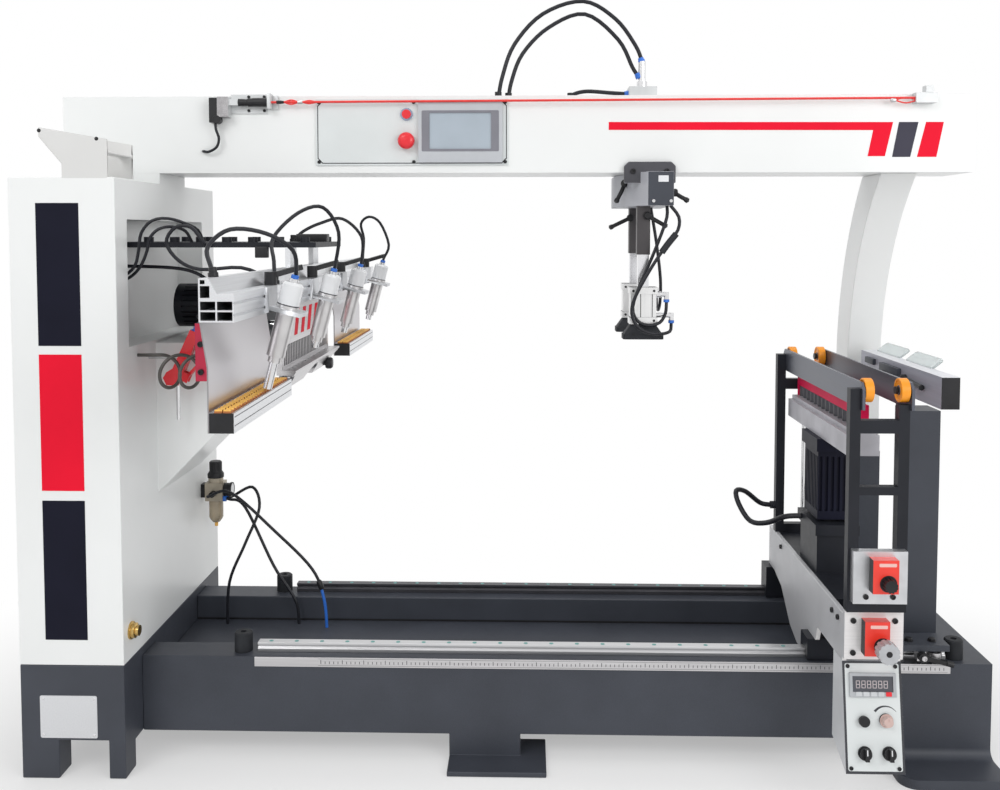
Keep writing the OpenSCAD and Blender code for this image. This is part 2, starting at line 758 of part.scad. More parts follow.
module clamp_cylinders() {
    color(steel) for (y = clamp_ys) at_clamp(y) difference() {
        union() {
            cylinder(d1 = clamp_d, d2 = clamp_d - 9, h = 5);
            translate([0, 0, -40]) cylinder(d = clamp_d, h = 40);
            translate([0, 0, shelf_z + 8]) cylinder(d = clamp_d + 3, h = -shelf_z - 8 - 40);
            translate([0, 0, -tube_end]) cylinder(d = 35, h = tube_end + shelf_z + 8);
            translate([0, 0, -nose_end]) cylinder(d = 25, h = nose_end - tube_end);
        }
        translate([0, 0, -nose_end - 1]) cylinder(d = clamp_rod_d + 2 * run_fit, h = nose_end - 8);
    }
}
module clamp_rod(y, out) {
    at_clamp(y) translate([0, 0, -nose_end - out]) cylinder(d = clamp_rod_d, h = rod_len);
}
module clamp_rod_front() {
    color(steel) clamp_rod(clamp_ys[0], rod_out + clamp_stroke);
}
module clamp_rods_rear() {
    color(steel) for (k = [1:3]) clamp_rod(clamp_ys[k], rod_out);
}
lever_offset = 70;
module clamp_levers() {
    color(black) for (y = clamp_ys) translate([prof_x1 - 16, y + lever_offset, prof_z0 + prof_low]) {
        cylinder(d = 24, h = 26);
        translate([0, 0, 18]) rotate([0, 0, 35]) rotate([0, -14, 0]) {
            translate([0, -7, -5]) cube([62, 14, 10]);
            translate([62, 0, -5]) cylinder(d = 14, h = 10);
        }
    }
}

// Air preparation unit on the column's side
frl_x = col_x1 + 38;
frl_y = plinth_back - 130;
frl_z = head_arm_z0 - gusset_h - 103;
knob_z = frl_z + 62;
knob_stem_d = 18;
module air_regulator() {
    color([0.72, 0.68, 0.60]) {
        difference() {
            union() {
                block([frl_x - 24, frl_y - 22, frl_z], [frl_x + 24, frl_y + 22, frl_z + 50]);
                rod_z([frl_x, frl_y, frl_z + 50], 40, 12);
            }
            rod_z([frl_x, frl_y, frl_z + 40], knob_stem_d + 2 * run_fit, 30);
        }
        translate([frl_x, frl_y, frl_z - 62]) rotate_extrude() polygon([
            [0, 0], [10, 0], [16, 8], [19, 14], [19, 62], [0, 62]]);
    }
    color(orange) rod_z([frl_x, frl_y, frl_z - 74], 9, 12);
    color(black) {
        block([col_x1, frl_y - 14, frl_z + 8], [frl_x - 24, frl_y + 14, frl_z + 44]);
        rod_x([frl_x + 24, frl_y, frl_z + 28], 36, 16);
        rod_y([frl_x, frl_y - 40, frl_z + 22], 16, 18);
    }
}
module regulator_knob() {
    color(black) translate([frl_x, frl_y, knob_z]) {
        translate([0, 0, -20]) cylinder(d = knob_stem_d, h = 22);
        translate([0, 0, slide_gap]) difference() {
            rotate_extrude() polygon([[0, 0], [22, 0], [22, 10], [17, 18], [17, 42], [14, 45], [0, 45]]);
            for (a = [0:30:330]) rotate(a) translate([18, 0, 20]) cylinder(d = 4, h = 30);
        }
    }
}

// Blow gun hanging on a hook at the column's side
gun_x = col_x1 + 69;
gun_y = -60;
gun_z = 891;
gun_tilt = 24;
gun_top = 128;
module at_gun() {
    translate([gun_x, gun_y, gun_z]) rotate([0, gun_tilt, 0]) children();
}
trigger_pin = [22, 0, 2];
trigger_pin_d = 5;
trigger_w = 14;
module trigger_cylinder(d, l) {
    translate(trigger_pin - [0, l / 2, 0]) rotate([-90, 0, 0]) cylinder(d = d, h = l);
}
module air_gun() {
    color(red) at_gun() difference() {
        union() {
            sweep_y(-11, 11) polygon([[-12, 110], [12, 110], [13, 10], [10, -6], [14, -24], [-12, -34],
                                      [-26, -22], [-24, -6], [-14, 8]]);
            block([8, -11, -10], [30, 11, 12]);
        }
        block([14, -trigger_w / 2 - slide_gap, -16], [40, trigger_w / 2 + slide_gap, 16]);
    }
    color(steel) {
        at_gun() trigger_cylinder(trigger_pin_d, 22);
        at_gun() translate([0, 0, 110]) cylinder(d = 16, h = gun_top - 110);
        at_gun() rotate([0, 180 - gun_tilt, 0]) translate([0, 0, 20]) cylinder(d = 9, h = 90);
        rod_x([col_x1, gun_y, gun_z + 39], 8, gun_x + 8 - col_x1);
    }
}
module gun_trigger() {
    color(red) at_gun() difference() {
        union() {
            trigger_cylinder(13, trigger_w);
            sweep_y(-trigger_w / 2, trigger_w / 2) polygon([[20, 2], [28, 2], [44, 52], [39, 54], [24, 14]]);
        }
        trigger_cylinder(trigger_pin_d + 2 * run_fit, 40);
    }
}

// Hose of the blow gun, and the spiral hose that hangs beside it
gun_hose_d = 8;
gun_out = [sin(gun_tilt), 0, cos(gun_tilt)];
gun_end = [gun_x, gun_y, gun_z] + gun_top * gun_out;
gun_route = [gun_end, gun_end + 20 * gun_out, [-706, -60, 1066], [-714, -62, 1104], [-748, -64, 1130],
             [-800, -66, 1142], [-900, -66, 1146], [col_x1 - niche_depth, -66, 1146]];
spiral_r = 38;
spiral_step = 46;
spiral_turns = 2;
spiral_at = [col_x1 + 50, -120, 905];
spiral_d = 8;
spiral_points = [for (k = [0:24 * spiral_turns]) spiral_at
    + [spiral_step * k / 24, spiral_r * sin(15 * k), spiral_r * cos(15 * k)]];
spiral_route = concat(
    [[col_x1, -128, 943], [col_x1 + 12, -128, 943], [col_x1 + 34, -127, 943]], spiral_points,
    [[-716, -86, 948], [-708, -50, 950], [-706, -32, 950], [-706, head_arm_y0, 950]]);
function least_gap(p, skip) =
    min([for (i = [0:len(p) - 1 - skip], j = [i + skip:len(p) - 1]) norm(p[i] - p[j])]);
echo(spiral_gap = least_gap(spiral_route, 8) - spiral_d);
module gun_hose() {
    color(black) tube_along(route(gun_route, 2), gun_hose_d, 8, [0, 1, 0]);
    color(black) tube_along(spiral_route, spiral_d, 6, [1, 0.2, 0.3]);
}

// Free air hoses
hose_d = 10;
thin_d = 8;
arc_routes = [
    [[manifold_x, manifold_y, fitting_top], [300, 119, 1690], [250, 118, 1755], [170, 112, 1797], [70, 105, 1765],
     [0, 100, 1690], [-30, 98, 1610], [-40, 98, beam_top]],
    [[manifold_x - 9, manifold_y, fitting_top - 36], [294, 124, 1636], [258, 128, 1706], [175, 124, 1768],
     [85, 120, 1735], [20, 118, 1670], [-8, 116, 1600], [-15, 116, beam_top]]];
short_route = [[manifold_x - manifold_w / 2, manifold_y, beam_top + 15], [240, manifold_y, beam_top + 18],
               [180, manifold_y, beam_top + 22], [146, manifold_y, beam_top + 14], [140, manifold_y, beam_top]];
loop_route = [[-690, -plate_y, plate_z + 6], [-690, -176, 1200], [-716, -186, 1236], [-752, -186, 1236],
              [-774, -182, 1202], [-748, -178, 1162], [-700, -172, 1142], [-610, -168, 1146], [-545, -164, 1120],
              [prof_x0, -164, 1110]];
regulator_routes = [
    [[frl_x, frl_y - 40, frl_z + 22], [frl_x, 246, 514], [-760, 226, 530], [-640, 215, 430], [-540, 210, 330],
     [-508, 205, 250], [-500, 200, tray_z + tray_t]],
    [[frl_x + 24, frl_y + 10, frl_z + 5], [-785, 318, 496], [-720, 290, 530], [-694, 262, 480], [-726, 234, 390],
     [-766, 222, 290], [-772, 220, tray_z + tray_t]],
    [[frl_x + 24, frl_y - 12, frl_z + 5], [-785, 296, 494], [-735, 272, 478], [-650, 236, 330], [-590, 226, 240],
     [-580, 224, tray_z + tray_t]]];
clamp_ends = [
    [[-402, -554, 1191], [-443, -588, 1222], [-498, -622, 1229], [-528, -656, 1198], [-514, -684, 1164],
     [prof_x0 + 7, -690, prof_z1]],
    [[-386, -187, 1225], [-411, -234, 1279], [-454, -282, 1266], [-496, -329, 1213], [-484, -372, 1166],
     [prof_x1 - 20, -400, prof_z0 + prof_low]],
    [[-400, 200, 1215], [-444, 172, 1261], [-495, 148, 1250], [-535, 118, 1228], [-555, 100, plate_z + plate_t]],
    [[-388, 625, 1190], [-414, 626, 1256], [-448, 630, 1275], [-474, 636, 1254], [-468, 650, 1210],
     [-472, 658, 1160], [prof_x1 - 20, 662, prof_z0 + prof_low]]];
function clamp_start(y) = let(up = [sin(clamp_tilt), 0, cos(clamp_tilt)], top = [clamp_top_x, y, clamp_top_z])
    [top + 5 * up, top + 24 * up];
module air_hoses() {
    color(black) {
        for (r = arc_routes) tube_along(r, hose_d, 8, [0, 1, 0]);
        tube_along(short_route, hose_d, 8, [0, 1, 0]);
        tube_along(loop_route, thin_d, 8, [0.2, 1, 0.3]);
        for (r = regulator_routes) tube_along(r, thin_d, 8, [0.3, 0.3, 1]);
        for (k = [0:3])
            tube_along(concat(clamp_start(clamp_ys[k]), clamp_ends[k]), thin_d, 8, [0.7, -0.7, 0.1]);
    }
}

// Carriage of the right head: side plates, front plate and deck
car_z0 = bed_top + 87;
car_z1 = bed_top + 190;
side_t = 10;
side_front = front_face_y;
side_back = 310;
block_h = 52;
block_z1 = bed_top + block_h;
rear_block_h = 85;
rear_block_z1 = bed_top + rear_block_h;
rail_lap = 50;
slide_half = 35;
web_rise_y = 87;
web_high_y = 177;
web_high = 67;
face_t = 12;
face_z1 = car_z1 + 10;
module carriage_plates() {
    color(steel) {
        for (x = [car_x0, car_x1 - side_t]) sweep_x(x, x + side_t) polygon([
            [side_front, car_z0], [rail_y - rail_lap, car_z0],
            [rail_y - slide_half, block_z1], [rail_y + slide_half, block_z1],
            [rail_y + 60, bed_top - 18], [25, bed_top - 18],
            [web_rise_y, bed_top + 1], [web_high_y, bed_top + web_high],
            [rail_rear_y - rail_lap, rear_block_z1], [side_back, rear_block_z1], [side_back, car_z1],
            [side_front, car_z1]]);
        block([car_x0, side_front - face_t, car_z0 + 8], [car_x1, side_front, face_z1]);
    }
}
deck_t = 30;
guide_ys = [head_y - 190, head_y + 200];
lift_y = head_y;
lift_rod_d = 18;
deck_front = -250;
deck_z0 = car_z1 - deck_t;
lift_share = 0.365;
lift_h = lift_share * (gear_z0 - car_z1);
cyl_z1 = car_z1 + lift_h;
module carriage_deck() {
    color(dark_paint) difference() {
        union() {
            block([car_x0 + side_t, deck_front, deck_z0], [car_x1 - side_t, side_back, car_z1]);
            block([car_x - 45, lift_y - 70, car_z1], [car_x + 45, lift_y + 70, cyl_z1 - 25]);
            block([car_x - 51, lift_y - 78, cyl_z1 - 25], [car_x + 51, lift_y + 78, cyl_z1]);
        }
        for (y = guide_ys) rod_z([car_x, y, deck_z0 - 1], guide_d + 2 * run_fit, deck_t + 2);
        rod_z([car_x, lift_y, car_z1 + 8], lift_rod_d + 2 * run_fit, cyl_z1 - car_z1);
    }
}

// Guide blocks on the rails, and the clamp that locks the carriage
block_w = 56;
block_over = 16;
rail_play = 0.5;
clamp_reach = 163;
clamp_z0 = bed_top + 32;
clamp_t = 14;
clamp_front = rail_y - 45;
pin_y = rail_y - 33;
lever_x = car_x1 + block_over + 100;
lever_z = bed_top + 22;
lever_pin_d = 8;
web_front = rail_y - 46;
module guide_block(y, top) {
    difference() {
        block([car_x0 - block_over, y - block_w / 2, bed_top + 3],
              [car_x1 + block_over, y + block_w / 2, top]);
        block([car_x0 - block_over - 1, y - rail_w / 2 - rail_play, bed_top],
              [car_x1 + block_over + 1, y + rail_w / 2 + rail_play, bed_top + rail_h + rail_play]);
    }
}
module rail_blocks() {
    x1 = car_x1 + block_over;
    color(steel) {
        guide_block(rail_y, block_z1);
        guide_block(rail_rear_y, rear_block_z1);
    }
    color(steel) difference() {
        union() {
            block([x1, clamp_front, clamp_z0], [x1 + clamp_reach, rail_y + 28, clamp_z0 + clamp_t]);
            block([lever_x - 10, web_front, bed_top + 10], [lever_x + 10, rail_y - 28, clamp_z0]);
        }
        rod_y([lever_x, web_front - 1, lever_z], lever_pin_d + 2 * run_fit, 16);
    }
    color(black) for (x = [x1 + 28, x1 + 133]) {
        rod_z([x, pin_y, bed_top + 7], 32, 21);
        rod_z([x, pin_y, bed_top + 28], 10, clamp_z0 - bed_top - 28);
    }
}
module lock_lever() {
    color(black) translate([lever_x, web_front - slide_gap, lever_z]) rotate([0, 14, 0]) union() {
        rotate([90, 0, 0]) cylinder(d = 22, h = 14);
        rotate([-90, 0, 0]) cylinder(d = lever_pin_d, h = 12);
        block([0, -12, -5], [56, -3, 5]);
        rod_x([54, -7.5, 0], 13, 16);
    }
}

// Upright frame of square tube
left_top = work_h - 20;
right_top = work_h - 53;
bar_z0 = work_h - 7 - bar_h;
rear_post_y1 = rear_post_y0 + tube;
post_y1 = post_y0 + tube;
left_in = car_x0 + tube;
right_in = car_x1 - tube;
module tube_frame() {
    color(dark_paint) union() {
        for (x = [car_x0, right_in]) {
            top = x == car_x0 ? left_top : right_top;
            block([x, post_y0, face_z1], [x + tube, post_y1, top]);
            block([x, rear_post_y0, car_z1], [x + tube, rear_post_y1, top]);
        }
        block([left_in, post_y0, work_h - 112], [right_in, post_y1, work_h - 85]);
        block([left_in, post_y0, work_h - 240], [right_in, post_y1, work_h - 223]);
        block([left_in, post_y0, face_z1], [right_in, post_y1, face_z1 + tube]);
        block([left_in, rear_post_y0, work_h - 112], [right_in, rear_post_y1, work_h - 85]);
        block([left_in, rear_post_y0, car_z1], [right_in, rear_post_y1, car_z1 + tube]);
    }
    color(black) rod_x([car_x0 - 12, rear_post_y0 + tube / 2, car_z1 + 70], 20, 12);
}

// Support bars with axle pins, and the wheels that carry the panel
bar_t = 6;
wheel_z = work_h - wheel_d / 2;
wheel_ys = [post_y0 + 18, rear_post_y0 + 5];
pin_play = 1.5;
bar_front = post_y0 - 8;
bar_back = rear_post_y1 + 8;
bar_z1 = bar_z0 + bar_h;
module bar_outline() {
    polygon([[bar_front, bar_z0], [bar_back, bar_z0], [bar_back, bar_z1 - 14], [bar_back - 14, bar_z1],
             [bar_front + 14, bar_z1], [bar_front, bar_z1 - 14]]);
}
module axle_pin() {
    cylinder(d = axle_d, h = wheel_w + 2 * pin_play + 5);
    translate([0, 0, wheel_w + 2 * pin_play]) cylinder(d = axle_d + 6, h = 5);
}
module support_bars() {
    color(steel) union() {
        sweep_x(left_in, left_in + bar_t) bar_outline();
        for (y = wheel_ys) translate([left_in + bar_t, y, wheel_z]) rotate([0, 90, 0]) axle_pin();
    }
    color(steel) union() {
        sweep_x(car_x1, car_x1 + bar_t) bar_outline();
        for (y = wheel_ys) translate([car_x1, y, wheel_z]) rotate([0, -90, 0]) axle_pin();
    }
}
module wheel_pair(y) {
    for (x = [left_in + bar_t + pin_play, car_x1 - pin_play - wheel_w])
        translate([x, y, wheel_z]) rotate([0, 90, 0]) difference() {
            cylinder(d = wheel_d, h = wheel_w);
            translate([0, 0, -1]) cylinder(d = axle_d + 2 * run_fit, h = wheel_w + 2);
            for (z = [-1, wheel_w - 2]) translate([0, 0, z]) difference() {
                cylinder(d = wheel_d - 10, h = 3);
                cylinder(d = axle_d + 10, h = 3);
            }
        }
}
module wheels_front() {
    color(black) wheel_pair(wheel_ys[0]);
}
module wheels_rear() {
    color(black) wheel_pair(wheel_ys[1]);
}

// Control box hanging under the front plate, with a leaning panel
box_low = car_z0 - 222;
box_lean = 40;
box_back = side_front + 58;
box_wall = 8;
lean = atan2(box_lean, car_z0 - box_low);
face_len = norm([box_lean, car_z0 - box_low]);
stem_d = 8;
stem_l = 6;
panel_spots = [[0.325, 0.815], [0.735, 0.815], [0.705, 0.525], [0.325, 0.53]];
meter_down = 0.21;
module at_face(across, down) {
    translate([car_x0 + across * car_w, side_front - down * box_lean, car_z0 - down * (car_z0 - box_low)])
        rotate([90 - lean, 0, 0]) children();
}
module at_panel(k) {
    at_face(panel_spots[k][0], panel_spots[k][1]) children();
}
module control_box() {
    color(white_paint) difference() {
        sweep_x(car_x0, car_x1) polygon([
            [box_back, car_z0], [side_front, car_z0], [side_front - box_lean, box_low],
            [box_back, box_low + 35]]);
        sweep_x(car_x0 + box_wall, car_x1 - box_wall) polygon([
            [box_back - box_wall, car_z0 - box_wall], [side_front + box_wall - 1.5, car_z0 - box_wall],
            [side_front - box_lean + 11, box_low + 13], [box_back - box_wall, box_low + 41]]);
        for (k = [0:3])
            at_panel(k) translate([0, 0, -stem_l - 1]) cylinder(d = stem_d + 2 * run_fit, h = stem_l + 3);
    }
    color([0.20, 0.21, 0.22]) difference() {
        at_face(0.5, meter_down) block([-48, -24, 0], [48, 24, 5]);
        at_face(0.5, meter_down) block([-42, -14, 3], [42, 18, 6]);
    }
}
module stem() {
    translate([0, 0, -stem_l]) cylinder(d = stem_d, h = stem_l + 1);
}
module selector() {
    stem();
    translate([0, 0, slide_gap]) {
        cylinder(d = selector_d + 4, h = 4);
        translate([0, 0, 4]) cylinder(d = selector_d, h = 8);
        block([-4, -selector_d / 2, 12], [4, selector_d / 2, 20]);
    }
}
module selector_left() {
    color(black) at_panel(0) selector();
}
module selector_right() {
    color(black) at_panel(1) selector();
}
module speed_knob() {
    color(black) at_panel(2) {
        stem();
        translate([0, 0, slide_gap]) difference() {
            union() {
                cylinder(d = 28, h = 5);
                translate([0, 0, 5]) cylinder(d1 = 22, d2 = 19, h = 14);
            }
            block([-1, 2, 18], [1, 12, 20]);
        }
    }
}
button_travel = 3;
module start_button() {
    color(black) at_panel(3) {
        translate([0, 0, -2]) cylinder(d = stem_d, h = 6);
        translate([0, 0, button_travel + slide_gap]) cylinder(d = 22, h = 7);
    }
}

// Position counters on the front plate and on the frame, with their knobs
low_face = side_front - face_t;
low_deep = 24;
low_spot = [car_x + 10, car_z0 + 46];
high_face = post_y0 - 20;
high_spot = [car_x + 8, car_z1 + 85];
shaft_d = 8;
shaft_in = 10;
module position_counters() {
    color(counter_red) difference() {
        block([car_x - 26, low_face - low_deep, car_z0 + 25], [car_x + 25, low_face, car_z0 + 97]);
        rod_y([low_spot[0], low_face - low_deep - 1, low_spot[1]], shaft_d + 2 * run_fit, shaft_in + 2);
    }
    color(alu) difference() {
        block([car_x - 55, high_face, car_z1 + 35], [car_x + 55, post_y0, car_z1 + 144]);
        block([car_x - 38, high_face + 4, car_z1 + 30], [car_x + 38, post_y0 + 1, car_z1 + 138]);
    }
    color(counter_red) difference() {
        block([car_x - 23, high_face - low_deep, car_z1 + 64], [car_x + 29, high_face, car_z1 + 133]);
        rod_y([high_spot[0], high_face - low_deep - 1, high_spot[1]], shaft_d + 2 * run_fit, shaft_in + 2);
    }
}
module knob_on(x, y, z) {
    translate([x, y, z]) rotate([90, 0, 0]) {
        translate([0, 0, -shaft_in]) cylinder(d = shaft_d, h = shaft_in + 1);
        translate([0, 0, slide_gap]) children();
    }
}
module upper_knob() {
    color(black) knob_on(high_spot[0], high_face - low_deep, high_spot[1]) difference() {
        cylinder(d = 27, h = 18);
        for (a = [0:30:330]) rotate(a) translate([14, 0, -1]) cylinder(d = 4, h = 20);
    }
}
module lower_handwheel() {
    color(black) knob_on(low_spot[0], low_face - low_deep, low_spot[1]) difference() {
        union() {
            cylinder(d = 24, h = 16);
            translate([0, 0, 16]) cylinder(d = handwheel_d, h = 24);
        }
        for (a = [0:30:330]) rotate(a) translate([handwheel_d / 2 + 1, 0, 15]) cylinder(d = 6, h = 26);
    }
}

// Cable loop beside the carriage
cable_d = 13;
cable_route = [[car_x0 - 12, rear_post_y0 + tube / 2, car_z1 + 70], [car_x0 - 40, 254, car_z1 + 76],
               [612, 238, 540], [582, 212, 548], [584, 186, 520], [606, 150, 486], [636, 100, 496],
               [668, 50, 526], [car_x - 51, 34, cyl_z1 - 12]];
module carriage_cable() {
    color(black) tube_along(cable_route, cable_d, 10, [0.1, 0.2, 1]);
}

// Right head: gearbox on two guide rods, spindles, guide bar and motor
gear_z1 = gear_z0 + 45;
top_z = gear_z1 + 10;
gear_w = 68;
gear_half = 245;
module right_gearbox() {
    color(dark_paint) union() {
        block([car_x - gear_w / 2, head_y - gear_half, gear_z0],
              [car_x + gear_w / 2, head_y + gear_half, gear_z1]);
        block([car_x - gear_w / 2 + 10, head_y - gear_half, gear_z1],
              [car_x + gear_w / 2 - 10, head_y + gear_half, top_z]);
    }
    color(steel) for (y = guide_ys)
        rod_z([car_x, y, deck_z0 - lift_travel - 20], guide_d, gear_z0 - deck_z0 + lift_travel + 20);
}
right_nose = 26;
module right_spindles() {
    color(steel) for (k = [0:spindle_n - 1])
        translate([car_x, head_y + (k - (spindle_n - 1) / 2) * pitch, top_z]) difference() {
            cylinder(d = nose_d, h = right_nose);
            translate([0, 0, right_nose - socket_h]) cylinder(d = socket_d, h = socket_h + 1);
        }
}
guide_bar_w = 24;
guide_bar_h = 26;
guide_hole_d = 16;
guide_bar_z = top_z + right_nose + 2;
guide_bar_y = (spindle_n - 1) * pitch / 2 + 16;
module right_guide_bar() {
    color(red) difference() {
        union() {
            block([car_x - guide_bar_w / 2, head_y - guide_bar_y, guide_bar_z],
                  [car_x + guide_bar_w / 2, head_y + guide_bar_y, guide_bar_z + guide_bar_h]);
            for (s = [-1, 1]) translate([0, head_y + s * (guide_bar_y - 2), 0])
                block([car_x - guide_bar_w / 2, -2, top_z], [car_x + guide_bar_w / 2, 2, guide_bar_z + 1]);
        }
        for (k = [0:spindle_n - 1])
            rod_z([car_x, head_y + (k - (spindle_n - 1) / 2) * pitch, guide_bar_z - 1],
                  guide_hole_d, guide_bar_h + 2);
    }
}
motor_w = 82;
motor_l = 110;
right_motor_z0 = cyl_z1 + 7;
fin_n = 9;
module right_motor() {
    y0 = lift_y - motor_l / 2;
    y1 = lift_y + motor_l / 2;
    color(black) difference() {
        union() {
            block([car_x - motor_w / 2, y0, right_motor_z0], [car_x + motor_w / 2, y1, gear_z0]);
            block([car_x - motor_w / 2 - 6, y0 - 10, gear_z0 - 30],
                  [car_x + motor_w / 2 + 6, y1 + 10, gear_z0]);
        }
        for (k = [0:fin_n - 1], s = [-1, 1])
            translate([car_x + s * motor_w / 2, y0 + (k + 0.5) * motor_l / fin_n, 0])
                block([-5, -3.5, right_motor_z0 + 20], [5, 3.5, gear_z0 - 44]);
        for (k = [0:5], y = [y0, y1])
            translate([car_x - motor_w / 2 + (k + 0.5) * motor_w / 6, y, 0])
                block([-3.5, -5, right_motor_z0 + 20], [3.5, 5, gear_z0 - 44]);
    }
    color(steel) rod_z([car_x, lift_y, car_z1 + 10], lift_rod_d, right_motor_z0 - car_z1 - 10);
}

// Presser under the beam: head, sleeves, cylinders and feet
press_ys = [beam_front + 15, beam_back + 25];
head_z0 = beam_z - 81;
clip_z0 = beam_z - 25;
clip_t = 11.7;
clip_h = 50;
clip_corner = 10;
sleeve_side = press_tube + 2 * slide_gap + 2 * sleeve_t;
sleeve_z0 = head_z0 - 117;
pad_z0 = work_h + pad_gap;
pad_h = 37;
cyl_z0 = pad_z0 + pad_h;
press_cyl_h = 89;
tube_top = sleeve_z0 + 38;
module presser_head() {
    color(white_paint) union() {
        translate([press_x, 0, head_z0]) linear_extrude(beam_z - slide_gap - head_z0) polygon([
            [4, press_ys[0] - 65], [65, press_ys[0] - 65], [72, press_ys[1] + 35], [-59, press_ys[1] + 35],
            [-59, press_ys[1] - 75]]);
        for (y = [beam_front - slide_gap - clip_t, beam_back + slide_gap])
            sweep_y(y, y + clip_t) clip_outline();
    }
}
module clip_outline() {
    x0 = press_x - 49;
    x1 = press_x + 74;
    polygon([[x0, clip_z0 - 1], [x1, clip_z0 - 1], [x1, clip_z0 + clip_h - clip_corner],
             [x1 - clip_corner, clip_z0 + clip_h], [x0 + clip_corner, clip_z0 + clip_h],
             [x0, clip_z0 + clip_h - clip_corner]]);
}
module presser_sleeves() {
    for (y = press_ys) translate([press_x, y, 0]) {
        color(alu) difference() {
            block([-sleeve_side / 2, -sleeve_side / 2, sleeve_z0],
                  [sleeve_side / 2, sleeve_side / 2, head_z0]);
            block([-press_tube / 2 - slide_gap, -press_tube / 2 - slide_gap, sleeve_z0 - 1],
                  [press_tube / 2 + slide_gap, press_tube / 2 + slide_gap, head_z0 + 1]);
        }
        color(black) {
            rod_y([0, -sleeve_side / 2 - 14, sleeve_z0 + 25], 20, 14);
            translate([0, -sleeve_side / 2 - 12, sleeve_z0 + 25]) rotate([0, 30, 0])
                block([-6, -9, -48], [6, 0, 0]);
        }
    }
}
elbow_up = 71;
low_elbow_up = 20;
module presser_cylinders() {
    for (y = press_ys) translate([press_x, y, 0]) {
        color(steel)
            block([-press_tube / 2, -press_tube / 2, cyl_z0 + press_cyl_h],
                  [press_tube / 2, press_tube / 2, tube_top]);
        color(alu) difference() {
            union() {
                block([-31, -22, cyl_z0], [31, 22, cyl_z0 + press_cyl_h]);
                block([-33.5, -25, cyl_z0], [33.5, 25, cyl_z0 + 16]);
                block([-33.5, -25, cyl_z0 + press_cyl_h - 16], [33.5, 25, cyl_z0 + press_cyl_h]);
                rod_x([30, 0, cyl_z0 + elbow_up], 12, 28);
                rod_z([58, 0, cyl_z0 + elbow_up - 12], 12, 18);
            }
            rod_z([0, 0, cyl_z0 - 1], press_rod_d + 2 * run_fit, press_cyl_h - 12);
        }
    }
    color(alu) translate([press_x, press_ys[0], cyl_z0 + low_elbow_up]) union() {
        rod_x([33.5, 0, 0], 12, 36.5);
        rod_z([70, 0, -12], 12, 18);
    }
}
module press_feet() {
    for (y = press_ys) translate([press_x, y, 0]) {
        color(black) union() {
            block([-pad_w / 2, -29, pad_z0], [pad_w / 2, 29, pad_z0 + 12]);
            block([-pad_w / 2 + 8, -22, pad_z0 + 12], [pad_w / 2 - 8, 22, cyl_z0 - slide_gap]);
        }
        color(steel) rod_z([0, 0, cyl_z0 - slide_gap], press_rod_d, press_cyl_h - 28);
    }
}
port_lead = 12;
port_z = cyl_z0 + elbow_up - 12 - slide_gap;
low_port_z = cyl_z0 + low_elbow_up - 12 - slide_gap;
press_routes = [
    [[press_x + 52, 5, head_z0], [366, 5, 1262], [352, 4, 1219], [330, 4, 1163], [303, 4, 1100], [286, 4, 1046],
     [297, 5, 1014], [323, 7, 1002], [352, 15, 1008], [368, 34, 1028],
     [press_x + 58, press_ys[0], port_z - port_lead], [press_x + 58, press_ys[0], port_z]],
    [[press_x + 58, -12, head_z0], [392, -12, 1262], [390, -12, 1231], [367, -13, 1200], [336, -13, 1155],
     [304, -13, 1100], [284, -13, 1056], [284, -13, 1022], [301, -12, 996], [330, -8, 984], [357, 4, 982],
     [379, 29, 986], [press_x + 70, press_ys[0], low_port_z - port_lead],
     [press_x + 70, press_ys[0], low_port_z]],
    [[press_x + 31, 150, head_z0], [360, 150, 1200], [371, 152, 1110], [372, 162, 1052], [372, 195, 1026],
     [372, 227, 1034], [press_x + 58, press_ys[1], port_z - port_lead], [press_x + 58, press_ys[1], port_z]]];
module presser_hoses() {
    color(black) for (r = press_routes) tube_along(r, thin_d, 8, [0, 1, 0]);
}

left_plinth();
front_bed_beam();
rear_bed_beam();
right_plinth();
column();
overhead_beam();
curved_arm();
right_posts();
linear_rails();
bump_stops();
control_panel();
beam_fittings();
fence_beam();
air_hoses();
air_regulator();
air_gun();
gun_hose();
unit_bracket();
head_bracket();
fence_profile();
back_plates();
roller_tracks();
track_rollers();
drill_guard();
clamp_brackets();
clamp_cylinders();
clamp_levers();
stop_button();
regulator_knob();
gun_trigger();
clamp_rod_front();
clamp_rods_rear();
left_gearbox();
left_spindles();
carriage_plates();
carriage_deck();
rail_blocks();
tube_frame();
support_bars();
control_box();
position_counters();
carriage_cable();
wheels_front();
wheels_rear();
selector_left();
selector_right();
speed_knob();
start_button();
upper_knob();
lower_handwheel();
lock_lever();
right_gearbox();
right_guide_bar();
right_spindles();
right_motor();
presser_head();
presser_sleeves();
presser_cylinders();
press_feet();
presser_hoses();
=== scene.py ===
import itertools
import math

import bmesh
import bpy
from mathutils import Matrix, Vector


